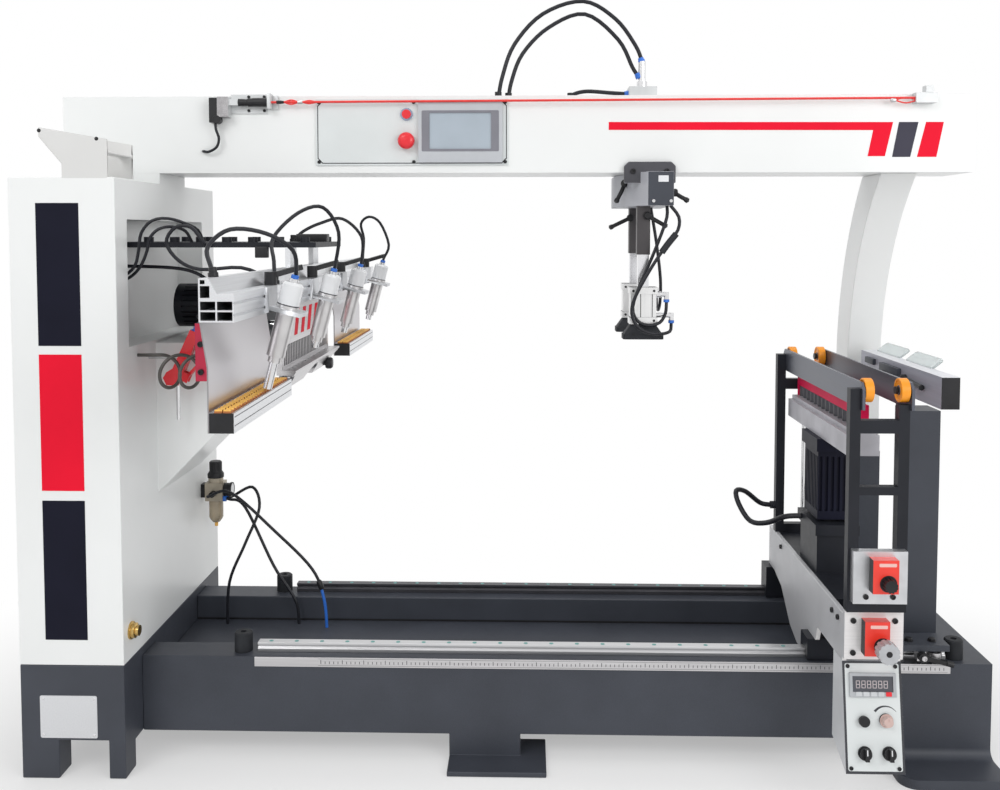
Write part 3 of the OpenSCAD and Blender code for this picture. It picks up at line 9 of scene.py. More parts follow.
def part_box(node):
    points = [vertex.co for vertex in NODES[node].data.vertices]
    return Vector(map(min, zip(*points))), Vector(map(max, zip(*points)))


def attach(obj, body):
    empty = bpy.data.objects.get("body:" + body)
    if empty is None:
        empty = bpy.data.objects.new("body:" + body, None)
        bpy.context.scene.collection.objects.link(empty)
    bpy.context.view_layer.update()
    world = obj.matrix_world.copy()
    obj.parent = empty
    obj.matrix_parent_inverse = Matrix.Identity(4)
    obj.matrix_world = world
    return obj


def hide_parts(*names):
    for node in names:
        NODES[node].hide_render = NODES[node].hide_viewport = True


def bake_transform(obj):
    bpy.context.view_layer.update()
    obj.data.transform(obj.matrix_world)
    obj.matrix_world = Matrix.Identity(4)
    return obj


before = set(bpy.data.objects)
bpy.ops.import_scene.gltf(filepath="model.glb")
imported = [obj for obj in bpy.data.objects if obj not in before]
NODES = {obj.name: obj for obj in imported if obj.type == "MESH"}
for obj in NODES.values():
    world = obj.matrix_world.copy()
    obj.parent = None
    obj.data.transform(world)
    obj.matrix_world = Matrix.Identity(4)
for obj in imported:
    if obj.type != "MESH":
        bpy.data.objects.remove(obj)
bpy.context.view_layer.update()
SCENE = bpy.context.scene

# Camera at the photograph's viewing angle
cam_data = bpy.data.cameras.new("camera")
cam_data.sensor_width = 36.0
cam_data.lens = 36.0
cam_data.shift_x = -0.003
cam_data.shift_y = -0.107
cam_data.clip_end = 60.0
camera = bpy.data.objects.new("camera", cam_data)
SCENE.collection.objects.link(camera)
camera.location = (0.035, -2.4, 1.218)
camera.rotation_euler = (math.radians(87.0), 0.0, math.radians(1.45))
SCENE.camera = camera


# Shader nodes
def set_inputs(tree, node, inputs):
    """Each input takes a value, or the output that is linked to it."""
    for key, value in inputs.items():
        if isinstance(value, bpy.types.NodeSocket):
            tree.links.new(value, node.inputs[key])
        else:
            node.inputs[key].default_value = value


def add_node(tree, kind, inputs, **settings):
    node = tree.nodes.new("ShaderNode" + kind)
    for key, value in settings.items():
        setattr(node, key, value)
    set_inputs(tree, node, inputs)
    return node


# Materials: each has a slightly uneven tint, roughness and surface
BUMP_DEPTH = 0.0003
LIGHT_SHARE = 0.6
SHINE_FINER = 7.0
BUMP_FINER = 2.0
COAT_ROUGH = 0.08
LEAST_ROUGH = 0.02


def material(name, colour, rough, metal=0.0, tone=0.10, patch=40, grain=900, bump=0.10, rough_var=0.05,
             coat=0.0, spec=0.5, brush=None, speck=0.0, speck_scale=900, transmission=0.0):
    """A brush stretches the unevenness into strokes, in place of patch and grain."""
    m = bpy.data.materials.new(name)
    m.use_nodes = True
    tree = m.node_tree
    coords = add_node(tree, "TexCoord", {}).outputs["Object"]

    def noise(scale, detail, stretch=None):
        source = coords
        if stretch:
            source = add_node(tree, "Mapping", {"Vector": coords, "Scale": stretch}).outputs["Vector"]
        return add_node(tree, "TexNoise", {"Vector": source, "Scale": scale, "Detail": detail}).outputs[0]

    def ramp(source, low, high, at=(0.35, 0.65)):
        node = add_node(tree, "ValToRGB", {0: source})
        for stop, place, shade in zip(node.color_ramp.elements, at, (low, high)):
            stop.position = place
            stop.color = (*shade, 1.0)
        return node.outputs[0]

    def multiply(a, b):
        return add_node(tree, "Mix", {0: 1.0, 6: a, 7: b}, data_type="RGBA", blend_type="MULTIPLY").outputs[2]

    def scaled(factor):
        return tuple(min(1.0, c * factor) for c in colour)

    broad = noise(1.0, 6.0, brush) if brush else noise(patch, 5.0)
    tint = ramp(broad, scaled(1.0 - tone), scaled(1.0 + tone * LIGHT_SHARE))
    if speck > 0.0:
        tint = multiply(tint, ramp(noise(speck_scale, 2.0), (1.0 - speck,) * 3, (1.0, 1.0, 1.0), (0.3, 0.6)))
    shine = add_node(tree, "MapRange", {
        "Value": noise(1.0, 4.0, brush) if brush else noise(patch * SHINE_FINER, 4.0),
        "To Min": max(LEAST_ROUGH, rough - rough_var),
        "To Max": min(1.0, rough + rough_var)})
    shader = tree.nodes["Principled BSDF"]
    set_inputs(tree, shader, {
        "Base Color": tint, "Roughness": shine.outputs["Result"], "Metallic": metal, "Coat Weight": coat,
        "Coat Roughness": COAT_ROUGH, "Specular IOR Level": spec, "Transmission Weight": transmission})
    if bump > 0.0:
        strokes = tuple(BUMP_FINER * c for c in brush) if brush else None
        relief = add_node(tree, "Bump", {
            "Strength": bump,
            "Distance": BUMP_DEPTH,
            "Height": noise(1.0, 3.0, strokes) if brush else noise(grain, 3.0)})
        set_inputs(tree, shader, {"Normal": relief.outputs["Normal"]})
    m.diffuse_color = (*colour, 1.0)
    return m


# Paints
WHITE = material("white_paint", (0.845, 0.86, 0.855), 0.36, tone=0.025, patch=2.5, grain=420, bump=0.05,
                 coat=0.12)
BRACKET_PAINT = material("bracket_paint", (0.70, 0.70, 0.69), 0.38, tone=0.03, patch=4, grain=420, bump=0.05)
DARK = material("dark_paint", (0.055, 0.061, 0.077), 0.46, tone=0.12, patch=6, grain=650, bump=0.22,
                speck=0.22, spec=0.35)
BLACK_PAINT = material("black_paint", (0.014, 0.0155, 0.021), 0.42, tone=0.2, patch=9, grain=800, bump=0.12,
                       spec=0.25)
TAUPE = material("sleeve_paint", (0.062, 0.057, 0.060), 0.42, 0.3, patch=14)
CRIMSON = material("crimson_paint", (0.48, 0.006, 0.045), 0.36, patch=9, grain=600, coat=0.1)
BAR_RED = material("bar_red_paint", (0.72, 0.010, 0.080), 0.50, tone=0.08, patch=9, grain=600, bump=0.08,
                   spec=0.12)
MOTOR_PAINT = material("motor_paint", (0.0065, 0.0072, 0.018), 0.46, tone=0.2, patch=9, grain=800, spec=0.15)
PRESS_GREY = material("presser_paint", (0.47, 0.48, 0.52), 0.42, tone=0.06, patch=10, grain=700)
BOX_SHEET = material("box_sheet", (0.72, 0.735, 0.755), 0.42, 0.15, tone=0.05, patch=9, bump=0.08)
PANEL = material("panel_plate", (0.70, 0.735, 0.735), 0.42, tone=0.03, patch=8, bump=0.06)
INK = material("border_ink", (0.035, 0.037, 0.045), 0.42, patch=20, bump=0.04)
DECAL_BLACK = material("stripe_black", (0.0095, 0.010, 0.021), 0.55, tone=0.12, patch=6, bump=0.04, spec=0.10)
DECAL_RED = material("stripe_red", (0.84, 0.009, 0.034), 0.55, tone=0.05, patch=6, bump=0.04, spec=0.10)
DECAL_GREY = material("stripe_grey", (0.060, 0.058, 0.080), 0.55, tone=0.08, patch=6, bump=0.04, spec=0.10)

# Metals
FITTING = material("fitting_metal", (0.62, 0.635, 0.64), 0.40, 0.25, tone=0.08, patch=25, bump=0.15)
GUNMETAL = material("gunmetal", (0.075, 0.075, 0.085), 0.38, 0.6, tone=0.12, patch=18)
STEEL_X = material("steel_along_x", (0.60, 0.60, 0.61), 0.30, 1.0, tone=0.12, brush=(3, 500, 500), bump=0.06)
STEEL_Y = material("steel_along_y", (0.58, 0.57, 0.58), 0.32, 1.0, tone=0.14, brush=(500, 3, 500), bump=0.06)
GROUND = material("ground_steel", (0.58, 0.585, 0.605), 0.46, 0.25, tone=0.08, patch=5, rough_var=0.10)
FACE_STEEL = material("face_steel", (0.78, 0.765, 0.765), 0.40, 0.30, tone=0.05, brush=(3, 300, 300),
                      bump=0.03)
BAR_STEEL = material("bar_steel", (0.105, 0.112, 0.140), 0.34, 0.55, brush=(220, 3, 220), bump=0.03)
FENCE_STEEL = material("fence_steel", (0.44, 0.44, 0.505), 0.40, 0.20, tone=0.07, brush=(260, 3, 260),
                       bump=0.03)
# A lighter copy of the fence steel for its upward faces: painted light on the top
FENCE_LIT_TOP = material("fence_top_painted_light", (0.76, 0.77, 0.81), 0.34, 0.20, tone=0.05, brush=(260, 3, 260), bump=0.03)
PLATE_STEEL = material("plate_steel", (0.54, 0.525, 0.545), 0.30, 1.0, tone=0.02, patch=3, bump=0.0,
                       rough_var=0.02)
POST_STEEL = material("post_steel", (0.78, 0.78, 0.80), 0.20, 0.9, tone=0.04, brush=(160, 160, 2), bump=0.02)
RULE = material("rule_steel", (0.60, 0.59, 0.60), 0.36, 0.8, brush=(3, 300, 300), bump=0.05)
CHROME = material("bright_steel", (0.72, 0.72, 0.73), 0.14, 1.0, tone=0.05, patch=30, grain=700, bump=0.02)
ALU = material("anodised", (0.74, 0.75, 0.77), 0.34, 1.0, tone=0.05, brush=(400, 4, 400), bump=0.05)
ALU_CAST = material("cast_aluminium", (0.62, 0.63, 0.65), 0.42, 0.95, patch=25, bump=0.2)
CLAMP = material("clamp_body", (0.62, 0.61, 0.61), 0.30, 0.9, patch=25, bump=0.05)
SILVER = material("cylinder_barrel", (0.80, 0.80, 0.80), 0.30, 0.7, tone=0.04, brush=(400, 400, 4), bump=0.03)
GEAR_GREY = material("gearbox_casting", (0.46, 0.455, 0.49), 0.44, 0.35, tone=0.16, patch=12, grain=700,
                     bump=0.25)
SWITCH_CAST = material("switch_casting", (0.42, 0.41, 0.42), 0.50, 0.3, tone=0.16, patch=60, bump=0.3,
                       speck=0.3, speck_scale=500)
REGULATOR = material("regulator_body", (0.42, 0.37, 0.29), 0.38, 0.35, patch=30, bump=0.12)
BRASS = material("brass", (0.62, 0.42, 0.15), 0.28, 1.0, tone=0.12, patch=60, grain=700, bump=0.05)
LAMP_RING = material("lamp_ring", (0.30, 0.36, 0.48), 0.22, 0.7, tone=0.06, grain=700, bump=0.03)
KNOB_GREY = material("knob_grey", (0.46, 0.47, 0.49), 0.40, 0.3, tone=0.08, grain=1500)

# Plastics, rubber and glass
FROST = material("frosted_cap", (0.76, 0.77, 0.785), 0.24, tone=0.03, patch=9, bump=0.0, rough_var=0.03,
                 coat=0.4)
PLASTIC = material("black_plastic", (0.017, 0.017, 0.019), 0.40, tone=0.2, patch=30, grain=1500, bump=0.12,
                   spec=0.30)
RUBBER = material("black_rubber", (0.022, 0.024, 0.028), 0.62, tone=0.25, patch=30, grain=1800, bump=0.18,
                  spec=0.25)
HOSE = material("black_hose", (0.014, 0.015, 0.020), 0.36, tone=0.2, bump=0.06, spec=0.30)
GREY_HOSE = material("grey_hose", (0.090, 0.083, 0.075), 0.30, tone=0.15, bump=0.06)
RED = material("red_plastic", (0.78, 0.014, 0.025), 0.30, tone=0.08, patch=12, bump=0.05, coat=0.2)
ORANGE = material("roller_orange", (1.0, 0.55, 0.12), 0.40, grain=1200, bump=0.08)
# Darker orange for the block below the rollers' tops: painted shade between the rollers
ROLLER_SHADE = material("roller_painted_shade", (0.42, 0.13, 0.018), 0.55, grain=1200, bump=0.08)
WHEEL = material("wheel_orange", (0.93, 0.33, 0.012), 0.40, patch=25, grain=1200, bump=0.08)
COUNTER = material("counter_red", (0.86, 0.040, 0.022), 0.34, tone=0.07, patch=25, grain=1200, bump=0.06,
                   coat=0.2)
WINDOW = material("counter_window", (0.84, 0.52, 0.47), 0.30, tone=0.04, bump=0.0, coat=0.3)
BOWL = material("regulator_bowl", (0.50, 0.42, 0.30), 0.20, tone=0.15, patch=30, grain=700, bump=0.03,
                transmission=0.35)
BLUE = material("blue_collar", (0.03, 0.16, 0.62), 0.35, grain=700, bump=0.05)
BEZEL = material("screen_frame", (0.50, 0.52, 0.55), 0.45, tone=0.04, patch=20, grain=2200, bump=0.12)
SCREEN_RIM = material("screen_rim", (0.20, 0.20, 0.23), 0.42, tone=0.06, patch=20, grain=2200)
SCREEN = material("screen_glass", (0.38, 0.44, 0.50), 0.14, patch=5, bump=0.0, coat=0.5)
METER = material("meter_face", (0.42, 0.44, 0.46), 0.45, tone=0.06, patch=30, grain=1500)
DISPLAY = material("meter_window", (0.055, 0.060, 0.075), 0.14, tone=0.12, patch=30, bump=0.0, coat=0.5)
DIGIT = material("meter_digit", (0.62, 0.55, 0.56), 0.4, tone=0.05, patch=60, bump=0.0)
KEY = material("meter_key", (0.58, 0.60, 0.62), 0.45, tone=0.05, patch=60, grain=1500, bump=0.08)
PINK = material("knob_cap", (0.62, 0.45, 0.41), 0.34, patch=60, grain=1500, bump=0.08)
CORD_RED = material("cord_red", (0.78, 0.035, 0.030), 0.42, tone=0.08, patch=60, grain=1500)
CLEAR = material("clear_acrylic", (0.84, 0.90, 0.90), 0.08, tone=0.04, patch=8, grain=700, bump=0.02,
                 transmission=0.6)
PLUG_GREEN = material("rail_plug", (0.12, 0.34, 0.32), 0.45, patch=60, bump=0.05)


# CAD nodes: a soft edge, and materials by place
WELD_GAP = 0.00002
SHARP_ANGLE = math.radians(38.0)
SLACK = 1e-5
FACING = 0.9


def dress(node, base, rules=(), edge=0.0012, segments=2, flat=False):
    """Each rule is a material and a test of a face's centre and normal; the first that fits is used."""
    obj = NODES[node]
    mesh = obj.data
    mesh.materials.clear()
    mesh.materials.append(base)
    for mat, _ in rules:
        mesh.materials.append(mat)
    for poly in mesh.polygons:
        poly.use_smooth = not flat
        poly.material_index = 0
        for k, (_, test) in enumerate(rules):
            if test(poly.center, poly.normal):
                poly.material_index = k + 1
                break
    weld = obj.modifiers.new("weld", "WELD")
    weld.merge_threshold = WELD_GAP
    if flat:
        return
    if edge > 0.0:
        bevel = obj.modifiers.new("edge", "BEVEL")
        bevel.width = edge
        bevel.segments = segments
        bevel.limit_method = "ANGLE"
        bevel.angle_limit = SHARP_ANGLE
    normals = obj.modifiers.new("normals", "WEIGHTED_NORMAL")
    normals.keep_sharp = True
    normals.weight = 90


def inside(lo, hi):
    return lambda c, n: all(lo[k] - SLACK <= c[k] <= hi[k] + SLACK for k in range(3))


def left_of(x):
    return lambda c, n: c.x < x


def right_of(x):
    return lambda c, n: c.x > x


def below(z):
    return lambda c, n: c.z < z


def faces_front(c, n):
    return n.y < -FACING


def near_line(a, b, r):
    a, b = Vector(a), Vector(b)
    along = (b - a).normalized()

    def test(c, n):
        reach = (c - a).dot(along)
        return 0.0 < reach < (b - a).length and ((c - a) - along * reach).length < r

    return test


# Places that the solids and the added pieces share
PLATES_LO, PLATES_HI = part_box("carriage_plates")
CAR_X = (PLATES_LO.x + PLATES_HI.x) / 2
FENCE_LO, FENCE_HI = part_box("fence_beam")
REAR_FRONT = 0.250
CORD_Y = 0.012
CORD_START = Vector((-0.594, CORD_Y, 1.5383))
CORD_END = Vector((0.9499, CORD_Y, 1.544))
CLAMP_X = -0.410
CLAMP_Y = (-0.520, -0.140, 0.220, 0.625)
CLAMP_Z = 1.125
CLAMP_TILT = math.radians(14.6)
CLAMP_UP = Vector((math.sin(CLAMP_TILT), 0.0, math.cos(CLAMP_TILT)))
WHEEL_Y = (-0.334, 0.250)
WHEEL_Z = 0.900

# Planes that part one material from the next
COLUMN_TOP = 1.3455
RULE_BACK = -0.1369
SCREEN_Y = 0.019
SWITCH_X = -0.6905
BOWL_FOOT = 0.4285
BOWL_TOP = 0.4895
GUN_PLUG_Z = 0.9925
SPACER_TOP = 1.1905
ROLLER_LOW = 0.9226
CAP_FOOT = -0.0405
MOTOR_X = -0.6805
GUIDE_TOP = 0.7445
LIFT_ROD_TOP = 0.5515
POST_FOOT = 1.0935
PORT_X = 0.3477

# Leaning face of the control box: from its upper left corner x goes across, y up the face and z out of it
FACE_BACK = 0.040
FACE_RISE = 0.222
FACE_LEAN = math.atan2(FACE_BACK, FACE_RISE)
FACE_LEN = math.hypot(FACE_BACK, FACE_RISE)
FACE_W = PLATES_HI.x - PLATES_LO.x
FACE = Matrix.Translation((PLATES_LO.x, -0.328, 0.327)) @ Matrix.Rotation(math.pi / 2 - FACE_LEAN, 4, "X")
TO_FACE = FACE.inverted()


def face_window(c, n):
    p = TO_FACE @ c
    return 0.0022 < p.z < 0.0038 and abs(p.x - FACE_W / 2) < 0.0421


LAMP = Vector((-0.259, 0.026, 1.510))


def on_lamp(r, back):
    return lambda c, n: c.y < back and (c - Vector((LAMP.x, c.y, LAMP.z))).length < r


PLAIN = (
    (DARK, 0.003, ("left_plinth", "front_bed_beam", "rear_bed_beam", "right_plinth", "right_posts")),
    (BLACK_PAINT, 0.002, ("tube_frame",)),
    (BLACK_PAINT, 0.0015, ("carriage_deck",)),
    (WHITE, 0.0025, ("curved_arm",)),
    (RUBBER, 0.0015, ("bump_stops",)),
    (RED, 0.0012, ("stop_button",)),
    (RED, 0.001, ("gun_trigger",)),
    (BAR_RED, 0.001, ("right_guide_bar",)),
    (PLASTIC, 0.0015, ("clamp_levers",)),
    (PLASTIC, 0.001, ("regulator_knob",)),
    (PLASTIC, 0.0008, ("selector_left", "selector_right", "start_button", "upper_knob", "lock_lever")),
    (KNOB_GREY, 0.0012, ("lower_handwheel",)),
    (ALU, 0.0006, ("fence_profile",)),
    (ALU_CAST, 0.001, ("clamp_brackets",)),
    (PLATE_STEEL, 0.0, ("back_plates",)),
    (STEEL_Y, 0.0005, ("drill_guard",)),
    (CHROME, 0.0008, ("clamp_rod_front", "clamp_rods_rear")),
    (CHROME, 0.0006, ("left_spindles",)),
    (GUNMETAL, 0.0006, ("right_spindles",)))
for mat, edge, names in PLAIN:
    for name in names:
        dress(name, mat, edge=edge)
dress("overhead_beam", WHITE, flat=True)
dress("column", WHITE, [(BRACKET_PAINT, lambda c, n: c.z > COLUMN_TOP and c.y < 0.0)], 0.0025)
dress("carriage_plates", GROUND, [(FACE_STEEL, faces_front)], 0.0015)
# The rear rail takes the dark gunmetal, so it is drawn darker than the front rail
dress("linear_rails", STEEL_X, [
    (RULE, lambda c, n: c.y < RULE_BACK),
    (GUNMETAL, lambda c, n: c.y > REAR_FRONT)], 0.0006)
dress("control_panel", PANEL, [
    (SCREEN, lambda c, n: abs(c.y - SCREEN_Y) < 0.0004 and faces_front(c, n)),
    (BEZEL, inside((-0.2305, 0.0165, 1.3935), (-0.0275, 0.0262, 1.5435))),
    (RED, on_lamp(0.0112, 0.0215)),
    (LAMP_RING, on_lamp(0.0155, 0.0258))], 0.0008)
dress("beam_fittings", FITTING, [
    (CORD_RED, near_line(CORD_START, CORD_END, 0.0032)),
    (PLASTIC, lambda c, n: c.x < -0.713 or (-0.664 < c.x < -0.592 and 0.0015 < c.y < 0.0225 and c.z > 1.52)),
    (SWITCH_CAST, left_of(SWITCH_X)),
    (CHROME, lambda c, n: 0.2 < c.x < 0.4 and c.z > 1.59)], 0.0008)
# The fence's upward faces take the lighter steel as painted light
dress("fence_beam", FENCE_STEEL, [
    (PLASTIC, lambda c, n: c.y < FENCE_LO.y + 0.0051 or c.y > FENCE_HI.y - 0.0051),
    (FENCE_LIT_TOP, lambda c, n: n.z > FACING)], 0.002)
dress("air_regulator", REGULATOR, [
    (ORANGE, below(BOWL_FOOT)),
    (BOWL, below(BOWL_TOP)),
    (PLASTIC, lambda c, n: c.x < -0.8512 or c.x > -0.8029 or c.y < 0.2879)], 0.001)
dress("air_gun", RED, [
    (CHROME, near_line((-0.796, -0.060, 0.760), (-0.796, -0.060, 0.868), 0.0055)),
    (STEEL_X, lambda c, n: c.x < -0.812 and c.z > 0.92),
    (BLUE, lambda c, n: c.z > GUN_PLUG_Z and c.x > -0.7665)], 0.002)
dress("unit_bracket", BLACK_PAINT, [(ALU, below(SPACER_TOP))], 0.001)
dress("head_bracket", CRIMSON, [
    (ALU, lambda c, n: abs(c.y - 0.23) < 0.023),
    (CHROME, right_of(-0.6895))], 0.0015)
dress("roller_tracks", ALU, [(PLASTIC, lambda c, n: abs(c.y) > 0.7459 or abs(c.y) < 0.3441)], 0.0006)
# Faces below the rollers' tops take the darker orange, as painted shade between the rollers
dress("track_rollers", ORANGE, [(ROLLER_SHADE, below(ROLLER_LOW))], 0.0008)
dress("clamp_cylinders", CLAMP, [
    (FROST, lambda c, n: (c - Vector((CLAMP_X, c.y, CLAMP_Z))).dot(CLAMP_UP) > CAP_FOOT)], 0.0012)
dress("left_gearbox", DARK, [
    (CHROME, near_line((-0.850, 0.230, 0.984), (-0.681, 0.230, 0.984), 0.0085)),
    (BLACK_PAINT, left_of(MOTOR_X)),
    (CRIMSON, faces_front)], 0.0015)
dress("rail_blocks", BLACK_PAINT, [
    (STEEL_Y, lambda c, n: c.x > PLATES_HI.x + 0.018 and c.z < 0.2685),
    (DARK, right_of(PLATES_HI.x + 0.017))], 0.0008)
dress("support_bars", BAR_STEEL, [
    (PLASTIC, lambda c, n: PLATES_LO.x + 0.0281 < c.x < PLATES_HI.x - 0.0001)], 0.001)
dress("control_box", BOX_SHEET, [
    (DISPLAY, face_window),
    (METER, lambda c, n: 0.0004 < (TO_FACE @ c).z < 0.0060),
    (INK, lambda c, n: abs((TO_FACE @ c).z) < 0.0004 and faces_front(c, n))], 0.0012)
dress("speed_knob", PINK, [(PLASTIC, lambda c, n: (TO_FACE @ c).z < 0.0052)], 0.0008)
dress("position_counters", COUNTER, [
    (ALU_CAST, lambda c, n: c.z > 0.45 and c.y > -0.3725),
    (PLASTIC, lambda c, n: n.x < -0.7)], 0.003, segments=3)
for name, y in zip(("wheels_front", "wheels_rear"), WHEEL_Y):
    dress(name, WHEEL, [(GUNMETAL, near_line((0.60, y, WHEEL_Z), (0.90, y, WHEEL_Z), 0.0105))], 0.0012)
dress("right_gearbox", GEAR_GREY, [(CHROME, below(GUIDE_TOP))], 0.0015)
dress("right_motor", MOTOR_PAINT, [(CHROME, below(LIFT_ROD_TOP))], 0.001)
dress("presser_head", PRESS_GREY, [
    (DARK, lambda c, n: c.y < -0.0195 and faces_front(c, n)),
    (GUNMETAL, lambda c, n: 0.0175 < c.y < 0.0302 and c.z > 1.3435 and n.z > -0.5)], 0.002)
dress("presser_cylinders", SILVER, [
    (POST_STEEL, lambda c, n: c.z > POST_FOOT),
    (CHROME, right_of(PORT_X)),
    (BLACK_PAINT, lambda c, n: abs(n.z) > 0.5 and (c.z < 1.0203 or c.z > 1.0767))], 0.0012)

# Pieces added to the solids are gathered in a bmesh, then made into an object
LEFT = (-1, 0, 0)
RIGHT = (1, 0, 0)
FRONT = (0, -1, 0)
UP = (0, 0, 1)
DOWN = (0, 0, -1)


def to_object(name, bm, mats, body="frame", flat=False):
    mesh = bpy.data.meshes.new(name)
    bmesh.ops.recalc_face_normals(bm, faces=bm.faces)
    bm.normal_update()
    bm.to_mesh(mesh)
    bm.free()
    for mat in mats:
        mesh.materials.append(mat)
    for poly in mesh.polygons:
        poly.use_smooth = not flat
    mesh.set_sharp_from_angle(angle=SHARP_ANGLE)
    obj = bpy.data.objects.new(name, mesh)
    SCENE.collection.objects.link(obj)
    if body:
        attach(obj, body)
    return obj


def add_box(bm, lo, hi, mat=0, r=0.0):
    made = bmesh.ops.create_cube(bm, size=1.0)["verts"]
    for v in made:
        v.co = Vector((lo[k] + (v.co[k] + 0.5) * (hi[k] - lo[k]) for k in range(3)))
    for f in {f for v in made for f in v.link_faces}:
        f.material_index = mat
    if r > 0.0:
        edges = list({e for v in made for e in v.link_edges})
        out = bmesh.ops.bevel(bm, geom=edges, offset=r, segments=2, affect="EDGES", profile=0.6,
                              clamp_overlap=True)
        for f in out["faces"]:
            f.material_index = mat


def circle(r, n):
    return [(r * math.cos(2 * math.pi * k / n), r * math.sin(2 * math.pi * k / n)) for k in range(n)]


def add_lathe(bm, profile, at, axis, mat=0, n=28):
    """A turned shape: its profile is a list of radius and height along the axis."""
    turn = Vector(axis).normalized().to_track_quat("Z", "Y").to_matrix()
    rings = []
    for r, h in profile:
        ring = circle(r, n) if r > 0.0 else [(0.0, 0.0)]
        rings.append([bm.verts.new(Vector(at) + turn @ Vector((*p, h))) for p in ring])
    for a, b in zip(rings, rings[1:]):
        for k in range(n):
            j = (k + 1) % n
            corners = []
            for v in (a[k % len(a)], a[j % len(a)], b[j % len(b)], b[k % len(b)]):
                if v not in corners:
                    corners.append(v)
            if len(corners) > 2:
                bm.faces.new(corners).material_index = mat
    for ring in (rings[0], rings[-1]):
        if len(ring) > 1:
            bm.faces.new(ring).material_index = mat


def add_disc(bm, r, h, at, axis, n):
    add_lathe(bm, [(r, 0.0), (r, h), (0.0, h)], at, axis, 0, n)


def add_collar(bm, r, h, tip, at, axis, mat, n=18):
    """A push-in fitting's collar, with a rim that narrows to the tip's radius."""
    add_lathe(bm, [(r, 0.0), (r, h), (tip, h + 0.001)], at, axis, mat, n)


def add_bolts(bm, xs, ys, zs, axis, r, h, mat=0):
    """A socket screw's head at each place of a grid."""
    head = [(r * 0.92, 0.0), (r, 0.0006), (r, h * 0.82), (r * 0.9, h), (r * 0.56, h), (r * 0.5, h * 0.45),
            (0.0, h * 0.4)]
    for at in itertools.product(xs, ys, zs):
        add_lathe(bm, head, at, axis, mat, 18)


def spread(axis, p, depth):
    """A point of an outline that lies across the axis, at this depth along it."""
    place = list(p)
    place.insert("xyz".index(axis), depth)
    return Vector(place)


def add_prism(bm, outline, axis, a, b, mat=0):
    low = [bm.verts.new(spread(axis, p, a)) for p in outline]
    high = [bm.verts.new(spread(axis, p, b)) for p in outline]
    faces = [bm.faces.new(low), bm.faces.new(high)]
    for k in range(len(outline)):
        j = (k + 1) % len(outline)
        faces.append(bm.faces.new((low[k], low[j], high[j], high[k])))
    for f in faces:
        f.material_index = mat
    return low + high


def add_ring(bm, outer, inner, axis, a, b):
    loops = [[bm.verts.new(spread(axis, p, d)) for p in line] for line, d in
             ((outer, a), (outer, b), (inner, b), (inner, a))]
    for first, second in zip(loops, loops[1:] + loops[:1]):
        for k in range(len(outer)):
            j = (k + 1) % len(outer)
            bm.faces.new((first[k], first[j], second[j], second[k]))


def rect(x0, y0, x1, y1):
    return [(x0, y0), (x1, y0), (x1, y1), (x0, y1)]


def round_rect(x0, y0, x1, y1, r, n=5):
    points = []
    for k, (cx, cy) in enumerate(((x1 - r, y1 - r), (x0 + r, y1 - r), (x0 + r, y0 + r), (x1 - r, y0 + r))):
        for j in range(n + 1):
            a = math.radians(90 * k + 90 * j / n)
            points.append((cx + r * math.cos(a), cy + r * math.sin(a)))
    return points


def smooth_route(points, per):
    """A curve through the points, with this many steps from each to the next."""
    pts = [Vector(p) for p in points]
    out = []
    for i in range(len(pts) - 1):
        a, b, c, d = pts[max(i - 1, 0)], pts[i], pts[i + 1], pts[min(i + 2, len(pts) - 1)]
        for k in range(per):
            t = k / per
            out.append(0.5 * (2 * b + (c - a) * t + (2 * a - 5 * b + 4 * c - d) * t * t
                              + (3 * b - a - 3 * c + d) * t * t * t))
    out.append(pts[-1])
    return out


def add_tube(bm, path, r, mat=0, n=14):
    side = (path[1] - path[0]).orthogonal()
    rings = []
    for k, p in enumerate(path):
        along = (path[min(k + 1, len(path) - 1)] - path[max(k - 1, 0)]).normalized()
        side = (side - along * side.dot(along)).normalized()
        up = along.cross(side)
        rings.append([bm.verts.new(p + x * side + y * up) for x, y in circle(r, n)])
    for a, b in zip(rings, rings[1:]):
        for j in range(n):
            i = (j + 1) % n
            bm.faces.new((a[j], a[i], b[i], b[j])).material_index = mat
    for ring in (rings[0], rings[-1]):
        bm.faces.new(ring).material_index = mat


def mm(points):
    return [tuple(c / 1000.0 for c in p) for p in points]


CORD_POINTS = 40


def hose(name, points, node=None, d=0.008, mat=HOSE, body="frame", per=None,
         sides=16, tail=None):
    """A cord drawn as a tube along points. A tail is a second material and the height that it starts below.
    """
    path = smooth_route(points, per or (CORD_POINTS - 1) // (len(points) - 1))
    bm = bmesh.new()
    add_tube(bm, path, d / 2, 0, sides)
    mats = [mat]
    if tail:
        mats.append(tail[0])
        for f in bm.faces:
            f.material_index = int(f.calc_center_median().z < tail[1])
    obj = to_object(name, bm, mats, body)
    if node:
        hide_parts(node)
    return obj


# Hoses and cables, on the routes of the solids
ARC_D = 0.010
ARC_ROUTES = [
    [(317, 120, 1650), (300, 119, 1690), (250, 118, 1755), (170, 112, 1797), (70, 105, 1765), (0, 100, 1690),
     (-30, 98, 1610), (-40, 98, 1555)],
    [(308, 120, 1614), (294, 124, 1636), (258, 128, 1706), (175, 124, 1768), (85, 120, 1735), (20, 118, 1670),
     (-8, 116, 1600), (-15, 116, 1555)]]
for k, points in enumerate(ARC_ROUTES):
    hose("arc_hose_%d" % k, mm(points), "air_hoses", ARC_D)
hose("short_hose", mm([(283, 120, 1570), (240, 120, 1573), (180, 120, 1577), (146, 120, 1569),
                       (140, 120, 1555)]), "air_hoses", ARC_D)
hose("loop_hose", mm([(-690, -150, 1197), (-690, -176, 1200), (-716, -186, 1236), (-752, -186, 1236),
                      (-774, -182, 1202), (-748, -178, 1162), (-700, -172, 1142), (-610, -168, 1146),
                      (-545, -164, 1120), (-515, -164, 1110)]), "air_hoses")
